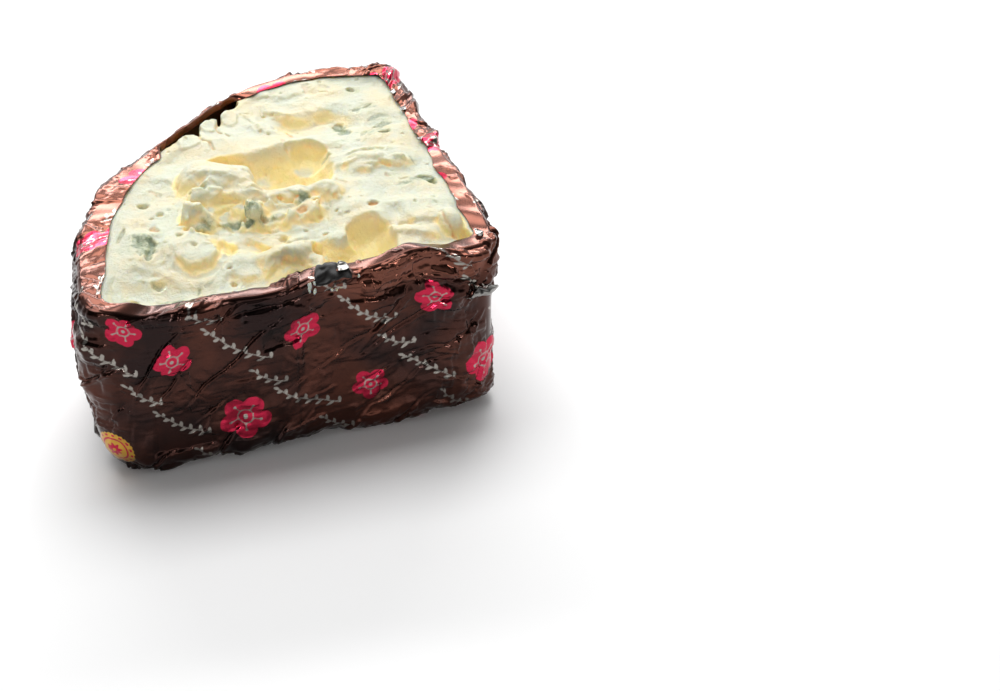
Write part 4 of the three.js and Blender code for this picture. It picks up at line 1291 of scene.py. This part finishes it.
def print_maps(sheet):
    """How deep each point of the sheet lies inside the print's crimson, silver and gold."""
    outline, length = sheet.outline, sheet.outline.length
    maps = {name: np.full(sheet.v.shape, -PRINT_DEPTH) for name in ("crimson", "silver", "gold")}
    pitch = whole_cell(length, PRINT_PITCH)
    rng = np.random.default_rng(81)

    def print_motif(at_s, at_v, turn, size, inks, draw, *shape):
        """Prints a shape, drawn within a size, at a place on the sheet and turned by an angle."""
        away = (sheet.s - at_s + length / 2) % length - length / 2
        near = np.nonzero(np.abs(away) < size)[0]
        x, y = away[near][:, None], sheet.v[near] - at_v
        cos, sin = math.cos(turn), math.sin(turn)
        for ink, depth in zip(inks, draw(x * cos + y * sin, y * cos - x * sin, *shape)):
            maps[ink][near] = np.maximum(maps[ink][near], np.clip(depth, -PRINT_DEPTH, PRINT_DEPTH))

    seal_s, seal_v = sheet.seal_place()
    for r, at_v in enumerate(PRINT_ROWS):
        for c in range(round(length / pitch)):
            at_s = (c + 0.5 * (r % 2)) * pitch + rng.uniform(-1.0, 1.0)
            radius = 10.5 if (r + 2 * c) % 4 == 2 else 7.5
            turn = rng.uniform(0.0, 1.2)
            on_hem = at_v < 4.0 and outline.on_front[np.argmin(np.abs(sheet.s - at_s))] > 0.5
            if math.hypot(at_s - seal_s, at_v - seal_v) > CLEAR_OF_SEAL and not on_hem:
                print_motif(at_s, at_v, turn, 14.0, ("crimson", "silver"), blossom, radius)
            long = 30.0 if c % 2 else 25.0
            print_motif(at_s + 0.5 * pitch, at_v - 2.0, SPRIG_TURN, 20.0, ("silver",), sprig, long, 12)
            print_motif(at_s + 0.27 * pitch, at_v + 16.5, SPRIG_TURN, 12.0, ("silver",), sprig, 15.0, 7)
    for (x, y), at_v, radius in RIM_BLOSSOMS:
        at_s = sheet.s[np.argmin(np.hypot(outline.x - x, outline.y - y))]
        print_motif(at_s, at_v, x + y, 14.0, ("crimson", "silver"), blossom, radius)
    print_motif(seal_s, seal_v, 0.2, 16.0, ("gold", "crimson"), seal, SEAL_RADIUS)
    return maps


def foil_material(name, settings, bare=False):
    """Thin aluminium under clear brown lacquer, gravure printed, varnished and crumpled by hand: dark where it
    mirrors the dark of the room, with pale glints on its folds. Bare, it is the plain silver side. The lacquer
    varies over about 30 mm, and the crinkles are about 9 mm across and branch into finer ones."""
    material, tree = new_material(name)
    place = add_node(tree, "ShaderNodeTexCoord", out=3)
    cloud = add_node(tree, "ShaderNodeTexNoise", {"Vector": place, "Scale": 1.0 / (30.0 * MM), "Detail": 3.0})
    crinkle = add_node(
        tree,
        "ShaderNodeTexNoise",
        {"Vector": place, "Scale": 1.0 / (9.0 * MM), "Detail": 4.0, "Roughness": 0.6},
        noise_type="RIDGED_MULTIFRACTAL",
    )
    bump = add_node(tree, "ShaderNodeBump", {"Height": crinkle, "Strength": 0.55, "Distance": 0.6 * MM})
    if bare:
        colours = {0: cloud, 6: paint("#6E6C6A"), 7: paint("#A5A39F")}
        colour = add_node(tree, "ShaderNodeMix", colours, out=2, data_type="RGBA")
    else:
        worn, gold, crimson, silver = (
            add_node(tree, "ShaderNodeAttribute", out=2, attribute_name=name)
            for name in ("worn", "gold", "crimson", "silver")
        )
        layers = (
            (cloud, 0.36, 0.76, 1.0, settings.lacquer_thin),
            # painted sheen on the lip and the bunched rim
            (worn, 0.0, 1.0, 1.0, settings.sheen_lacquer),
            (gold, -0.15, 0.15, 1.0, settings.gold),
            (crimson, -0.15, 0.15, 1.0, settings.crimson),
            (silver, -0.15, 0.15, 1.0, settings.silver),
        )
        colour = tint(tree, settings.lacquer, layers)
    shader = add_node(
        tree,
        "ShaderNodeBsdfPrincipled",
        {
            "Base Color": colour,
            "Metallic": 1.0,
            "Roughness": 0.22,
            "Coat Weight": 0.3,
            "Coat Roughness": 0.2,
            "Normal": bump,
        },
    )
    add_node(tree, "ShaderNodeOutputMaterial", {"Surface": shader})
    return material


def shadow_black_foil_material():
    """A nearly black, dull sheet with a faint gloss where it bends: painted shadow for the dark notch where the
    rim is torn.
    """
    material, tree = new_material("Aluminium foil, blackened by mould")
    black = {"Base Color": paint("#0D0A09"), "Roughness": 0.42, "Specular IOR Level": 0.35}
    shader = add_node(tree, "ShaderNodeBsdfPrincipled", black)
    add_node(tree, "ShaderNodeOutputMaterial", {"Surface": shader})
    return material


# ===== Torn scraps of foil, and the paste smeared on it

FOIL_THICKNESS = 0.15  # coarser than real foil, so that its edges show


def make_scrap(name, sheet, span, profile, material, seed, rough):
    """A torn strip of foil along the rim. The span is its start and end along the sheet. The profile gives, from
    0 at its foot to 1 at its ragged edge, how far out of the cheese's side it is and how far above the rim."""
    o = sheet.outline
    rng = np.random.default_rng(seed)
    s = np.arange(*span, 0.4)
    t = np.linspace(0.0, 1.0, 14)
    knots = np.arange(span[0] - 3.0, span[1] + 3.0, 2.1)
    ragged = 0.86 + 0.14 * np.interp(s, knots, rng.uniform(-1.0, 1.0, len(knots)))
    middle, half = (span[0] + span[1]) / 2, (span[1] - span[0]) / 2
    ragged *= np.sqrt(np.clip(1.0 - ((s - middle) / half) ** 4, 0.02, 1.0))
    out, rise = profile(t[None, :] * ragged[:, None])
    x, y, away_x, away_y, rim = (
        np.interp(s % o.length, o.s, values, period=o.length)[:, None]
        for values in (o.x, o.y, *o.outward.T, rim_height(o))
    )
    axes = (s, 9.0 * t)
    crumple = grid_noise(axes, (3.0, 2.5), seed) + 0.6 * grid_noise(axes, (1.3, 1.2), seed + 1)
    height = rim + rise + 0.6 * rough * grid_noise(axes, (2.2, 2.0), seed + 2)
    stand = out + rough * crumple + slump(x, y, height)
    points = np.stack([x + away_x * stand, y + away_y * stand, height], 2)
    rows = len(t)
    corners = ((i * rows + r, (i + 1) * rows + r) for i in range(len(s) - 1) for r in range(rows - 1))
    faces = [(a, a + 1, b + 1, b) for a, b in corners]
    scrap = make_piece(name, points.reshape(-1, 3), faces, material)
    thicken = scrap.modifiers.new("thickness", "SOLIDIFY")
    thicken.thickness = FOIL_THICKNESS * MM
    thicken.offset = 0.0
    apply_modifiers(scrap)


def make_scraps(sheet, settings):
    """The torn flap on the front rim, black as painted shadow in the notch, the bare folds at the right end, and
    silver bits along the lip.
    """
    # painted shadow: the torn flap is black
    dark = shadow_black_foil_material()
    silver = foil_material("Aluminium foil, bare", settings, bare=True)
    near, silver_end, dark_end = (sheet.front_place(x) for x in (-53.5, -58.0, -67.0))

    # How far out of the cheese's side each scrap is and how far above the rim, from its foot to its edge
    def flap(t):
        return 6.2 - 9.2 * t, -0.4 + 8.6 * t - 5.6 * t**2

    def lining(t):
        return 3.9 - 3.9 * t, 2.4 + 1.9 * t

    def fold(t):
        return 3.4 + 1.4 * np.sin(3.0 * t), -23.0 + 5.0 * t

    def corner(t):
        return -2.0 - 4.0 * t, 0.6 + 1.0 * t

    def lip_edge(t):
        return -4.5 - 3.0 * t, 0.2 + 0.8 * t

    # the flap is painted black as the shadow in the torn notch
    make_scrap("torn_flap", sheet, (near, dark_end), flap, dark, 91, 0.75)
    make_scrap("torn_flap_silver", sheet, (near, silver_end), lining, silver, 92, 0.6)
    make_scrap("bare_fold", sheet, (-4.0, 11.0), fold, silver, 93, 0.6)
    make_scrap("bare_corner", sheet, (-7.0, -2.5), corner, silver, 94, 0.5)
    for k, (start, wide) in enumerate(((-128, 4), (-112, 4), (-84, 3))):
        start += sheet.outline.length
        make_scrap(f"bare_bit_{k}", sheet, (start, start + wide), lip_edge, silver, 95 + k, 0.4)


# Smears and crumbs of paste on the foil: X, how far out of the cheese's side, how far above the rim, half
# width, half height
SMEARS = (
    (-68.5, 3.4, -2.5, 0.8, 2.4),
    (-67.0, 3.5, -5.0, 0.6, 1.6),
    (-66.2, 3.3, -1.4, 1.0, 1.0),
    (-60.5, 3.6, -6.0, 0.6, 0.6),
    (-58.7, 3.6, -6.6, 0.4, 0.5),
    (-57.2, 3.5, -6.0, 0.5, 0.4),
    (-63.5, 3.3, -4.4, 0.9, 0.7),
    (-50.0, 3.2, -2.0, 0.5, 0.7),
)
SMEAR_THICKNESS = 0.45  # half of it


def make_smears(sheet):
    """Smears and crumbs of paste on the foil below the torn flap."""
    o = sheet.outline
    rng = np.random.default_rng(101)
    shape = bmesh.new()
    bmesh.ops.create_icosphere(shape, subdivisions=3, radius=1.0)
    ball = bpy.data.meshes.new("ball")
    shape.to_mesh(ball)
    shape.free()
    round_points = np.array([vertex.co for vertex in ball.vertices])
    round_faces = np.array([tuple(face.vertices) for face in ball.polygons])
    bpy.data.meshes.remove(ball)
    points, faces = [], []
    for k, (x, out, rise, wide, tall) in enumerate(SMEARS):
        column = round(sheet.front_place(x) / sheet.s[1]) % len(sheet.s)
        at_x, at_y = (o.x[column], o.y[column]) + out * o.outward[column]
        centre = (at_x, at_y, rim_height(o)[column] + rise)
        bulge = 1.0 + 0.25 * np.sin(3.0 * round_points @ rng.uniform(-1, 1, 3) + rng.uniform(0, 6))[:, None]
        points.append(centre + round_points * bulge * (wide, SMEAR_THICKNESS, tall))
        faces += (round_faces + k * len(round_points)).tolist()
    make_piece("paste_smears", np.concatenate(points), faces, bpy.data.materials[PASTE])


# ===== Stage

CAMERA_AZIMUTH = -18.68  # degrees; 0 looks along +Y
CAMERA_ELEVATION = 35.54
CAMERA_DISTANCE = 1061.5
CAMERA_TARGET = (23.33, 40.0, -4.30)
FOCAL_LENGTH = 90.0  # millimetres on a 36 mm wide sensor


def set_up(name, data, place, direction):
    """Stands a camera or a light in the studio, turned to look or to shine in a direction."""
    thing = bpy.data.objects.new(name, data)
    thing.location = place
    thing.rotation_euler = direction.to_track_quat("-Z", "Y").to_euler()
    bpy.context.scene.collection.objects.link(thing)
    return thing


def make_stage(settings):
    """The camera, the white paper floor, two soft lights, a narrow beam in front and the surround."""
    scene = bpy.context.scene
    azimuth, elevation = math.radians(CAMERA_AZIMUTH), math.radians(CAMERA_ELEVATION)
    level = math.cos(elevation)
    back = Vector((math.sin(azimuth) * level, -math.cos(azimuth) * level, math.sin(elevation)))
    target = Vector(CAMERA_TARGET) + Vector(WHEEL_AXIS)
    lens = bpy.data.cameras.new("camera")
    lens.lens = FOCAL_LENGTH
    lens.sensor_width = 36.0
    lens.clip_end = 50.0
    scene.camera = set_up("camera", lens, (target + CAMERA_DISTANCE * back) * MM, -back)

    bpy.ops.mesh.primitive_plane_add(size=12.0, location=(0.0, 0.0, 0.0))
    floor = bpy.context.object
    floor.name = "floor"
    floor.data.materials.append(paper_material())

    add_softbox("overhead", (0.0, 0.48, 1.38), (1.3, 0.8), settings.overhead)
    add_softbox("strip_behind", (0.25, 1.2, 0.86), (1.4, 0.16), settings.backlight)
    add_snoot("snoot_in_front", (-0.3, -1.05, 0.62), (0.0, 0.005, 0.085), settings.snoot)
    scene.world = make_surround(settings)
    scene.view_settings.view_transform = "Standard"


def paper_material():
    """White cartridge paper, uncoated: matt, so that it takes only soft shadows."""
    material, tree = new_material("Paper, matt white")
    paper = add_node(tree, "ShaderNodeBsdfPrincipled", {"Base Color": paint("#FBFBFB"), "Roughness": 0.95})
    add_node(tree, "ShaderNodeOutputMaterial", {"Surface": paper})
    return material


def make_surround(settings):
    """The room that the foil mirrors: bright above, behind the wedge and low down all round, dim elsewhere."""
    world = bpy.data.worlds.new("studio")
    world.use_nodes = True
    tree = world.node_tree
    tree.nodes.clear()
    direction = add_node(tree, "ShaderNodeTexCoord", out=0)
    behind_wedge = {0: direction, 1: (0.22, 0.75, 0.62)}
    toward = add_node(tree, "ShaderNodeVectorMath", behind_wedge, out=1, operation="DOT_PRODUCT")
    fade = {"Value": toward, "From Min": 0.0, "From Max": 0.95, "To Max": settings.behind}
    behind = add_node(tree, "ShaderNodeMapRange", fade)
    height = add_node(tree, "ShaderNodeSeparateXYZ", {"Vector": direction}, out=2)
    fade = {"Value": height, "From Min": 0.0, "From Max": 0.42, "To Min": settings.around, "To Max": 0.02}
    around = add_node(tree, "ShaderNodeMapRange", fade)
    glow = add_node(tree, "ShaderNodeMath", {0: behind, 1: around}, operation="ADD")
    background = add_node(tree, "ShaderNodeBackground", {"Color": (1.0, 1.0, 1.0, 1.0), "Strength": glow})
    add_node(tree, "ShaderNodeOutputWorld", {"Surface": background})
    return world


def add_softbox(name, place, size, watts):
    """A soft rectangular light that faces the wedge."""
    lamp = bpy.data.lights.new(name, "AREA")
    lamp.shape = "RECTANGLE"
    lamp.size, lamp.size_y = size
    lamp.energy = watts
    set_up(name, lamp, place, Vector((0.0, 0.0, 0.05)) - Vector(place))


def add_snoot(name, place, target, watts):
    """A narrow beam with a soft edge, thrown on the cut face alone."""
    lamp = bpy.data.lights.new(name, "SPOT")
    lamp.spot_size = math.radians(10.5)
    lamp.spot_blend = 1.0
    lamp.shadow_soft_size = 0.12
    lamp.energy = watts
    set_up(name, lamp, place, Vector(target) - Vector(place))


# ===== Add-on

def colour_setting(name, description, hex_code):
    """A colour that the user can change."""
    default = paint(hex_code)
    return FloatVectorProperty(name=name, description=description, subtype="COLOR", size=4, default=default)


class CheeseSettings(bpy.types.PropertyGroup):
    """The fineness and the colours of the paste"""

    grain: FloatProperty(name="Grain", description="Voxels that the paste is cut from, mm", default=0.55)
    cream: colour_setting("Cream", "The fresh paste", "#CBCEB9")
    ripe: colour_setting("Ripe", "Clouds of riper paste", "#D8CFAE")
    # the colour of the yellow shade painted into hollows, creases and steep slopes
    hollow: colour_setting("Hollow", "Paste in hollows and creases", "#FCE6A8")
    mould: colour_setting("Mould", "Blue-green mould", "#76866A")


class FoilSettings(bpy.types.PropertyGroup):
    """The fineness, the crumples and the colours of the foil"""

    columns: IntProperty(name="Columns", description="Points round the wedge, a multiple of 5", default=920)
    crumple: FloatProperty(name="Crumple", description="How deep the folds are", default=1.0, subtype="FACTOR")
    lacquer: colour_setting("Lacquer", "Brown lacquer on the foil", "#210F0D")
    lacquer_thin: colour_setting("Thin lacquer", "Where the lacquer lies thinner", "#582E20")
    # a lighter lacquer colour, painted on the lip and the bunched rim as sheen
    sheen_lacquer: colour_setting("Painted lip sheen", "Painted on the lip and the bunched rim", "#754536")
    crimson: colour_setting("Crimson", "Ink of the blossoms", "#B5183C")
    silver: colour_setting("Silver", "Ink of the sprigs", "#96918A")
    gold: colour_setting("Gold", "Ink of the seal", "#C99A3A")


class StageSettings(bpy.types.PropertyGroup):
    """The strengths of the lights"""

    overhead: FloatProperty(name="Overhead", description="The soft light above", default=16.1, unit="POWER")
    snoot: FloatProperty(name="Snoot", description="The beam on the cut face", default=24.0, unit="POWER")
    backlight: FloatProperty(name="Back light", description="The strip behind", default=12.0, unit="POWER")
    behind: FloatProperty(name="Behind", description="How bright it is behind the wedge", default=0.62)
    around: FloatProperty(name="Around", description="How bright it is low down, all round", default=1.3)


class WEDGE_OT_cheese(bpy.types.Operator):
    """Carves the cheese out of a block of voxels"""

    bl_idname = "wedge.cheese"
    bl_label = "Cheese"

    def execute(self, context):
        make_cheese(context.scene.wedge_cheese)
        return {"FINISHED"}


class WEDGE_OT_foil(bpy.types.Operator):
    """Wraps the crumpled printed foil round the cheese"""

    bl_idname = "wedge.foil"
    bl_label = "Foil"

    def execute(self, context):
        make_foil(context.scene.wedge_foil)
        return {"FINISHED"}


class WEDGE_OT_scraps(bpy.types.Operator):
    """Adds the torn scraps of foil along the rim, and the smears of paste on it"""

    bl_idname = "wedge.scraps"
    bl_label = "Scraps and Smears"

    def execute(self, context):
        settings = context.scene.wedge_foil
        sheet = Sheet(settings.columns)
        make_scraps(sheet, settings)
        make_smears(sheet)
        return {"FINISHED"}


class WEDGE_OT_stage(bpy.types.Operator):
    """Sets up the camera, the white floor and the lights"""

    bl_idname = "wedge.stage"
    bl_label = "Stage"

    def execute(self, context):
        make_stage(context.scene.wedge_stage)
        return {"FINISHED"}


class WEDGE_PT_panel(bpy.types.Panel):
    """Sizes, finishes and buttons of the wedge"""

    bl_label = "Cheese Wedge"
    bl_idname = "WEDGE_PT_panel"
    bl_space_type = "VIEW_3D"
    bl_region_type = "UI"
    bl_category = "Cheese Wedge"

    def draw(self, context):
        for name, group, operators in ROWS:
            for setting in group.__annotations__:
                self.layout.prop(getattr(context.scene, name), setting)
            for operator in operators:
                self.layout.operator(operator.bl_idname)


# The panel's rows: the scene's property, its group of settings, and the operators that read it
ROWS = (
    ("wedge_stage", StageSettings, (WEDGE_OT_stage,)),
    ("wedge_cheese", CheeseSettings, (WEDGE_OT_cheese,)),
    ("wedge_foil", FoilSettings, (WEDGE_OT_foil, WEDGE_OT_scraps)),
)
CLASSES = (*(cls for _, group, operators in ROWS for cls in (group, *operators)), WEDGE_PT_panel)


def register():
    for cls in CLASSES:
        bpy.utils.register_class(cls)
    for name, group, _ in ROWS:
        setattr(bpy.types.Scene, name, PointerProperty(type=group))


def unregister():
    for name, _, _ in ROWS:
        delattr(bpy.types.Scene, name)
    for cls in reversed(CLASSES):
        bpy.utils.unregister_class(cls)


def main():
    register()
    bpy.ops.wedge.stage()
    bpy.ops.wedge.cheese()
    bpy.ops.wedge.foil()
    bpy.ops.wedge.scraps()


if __name__ == "__main__":
    main()
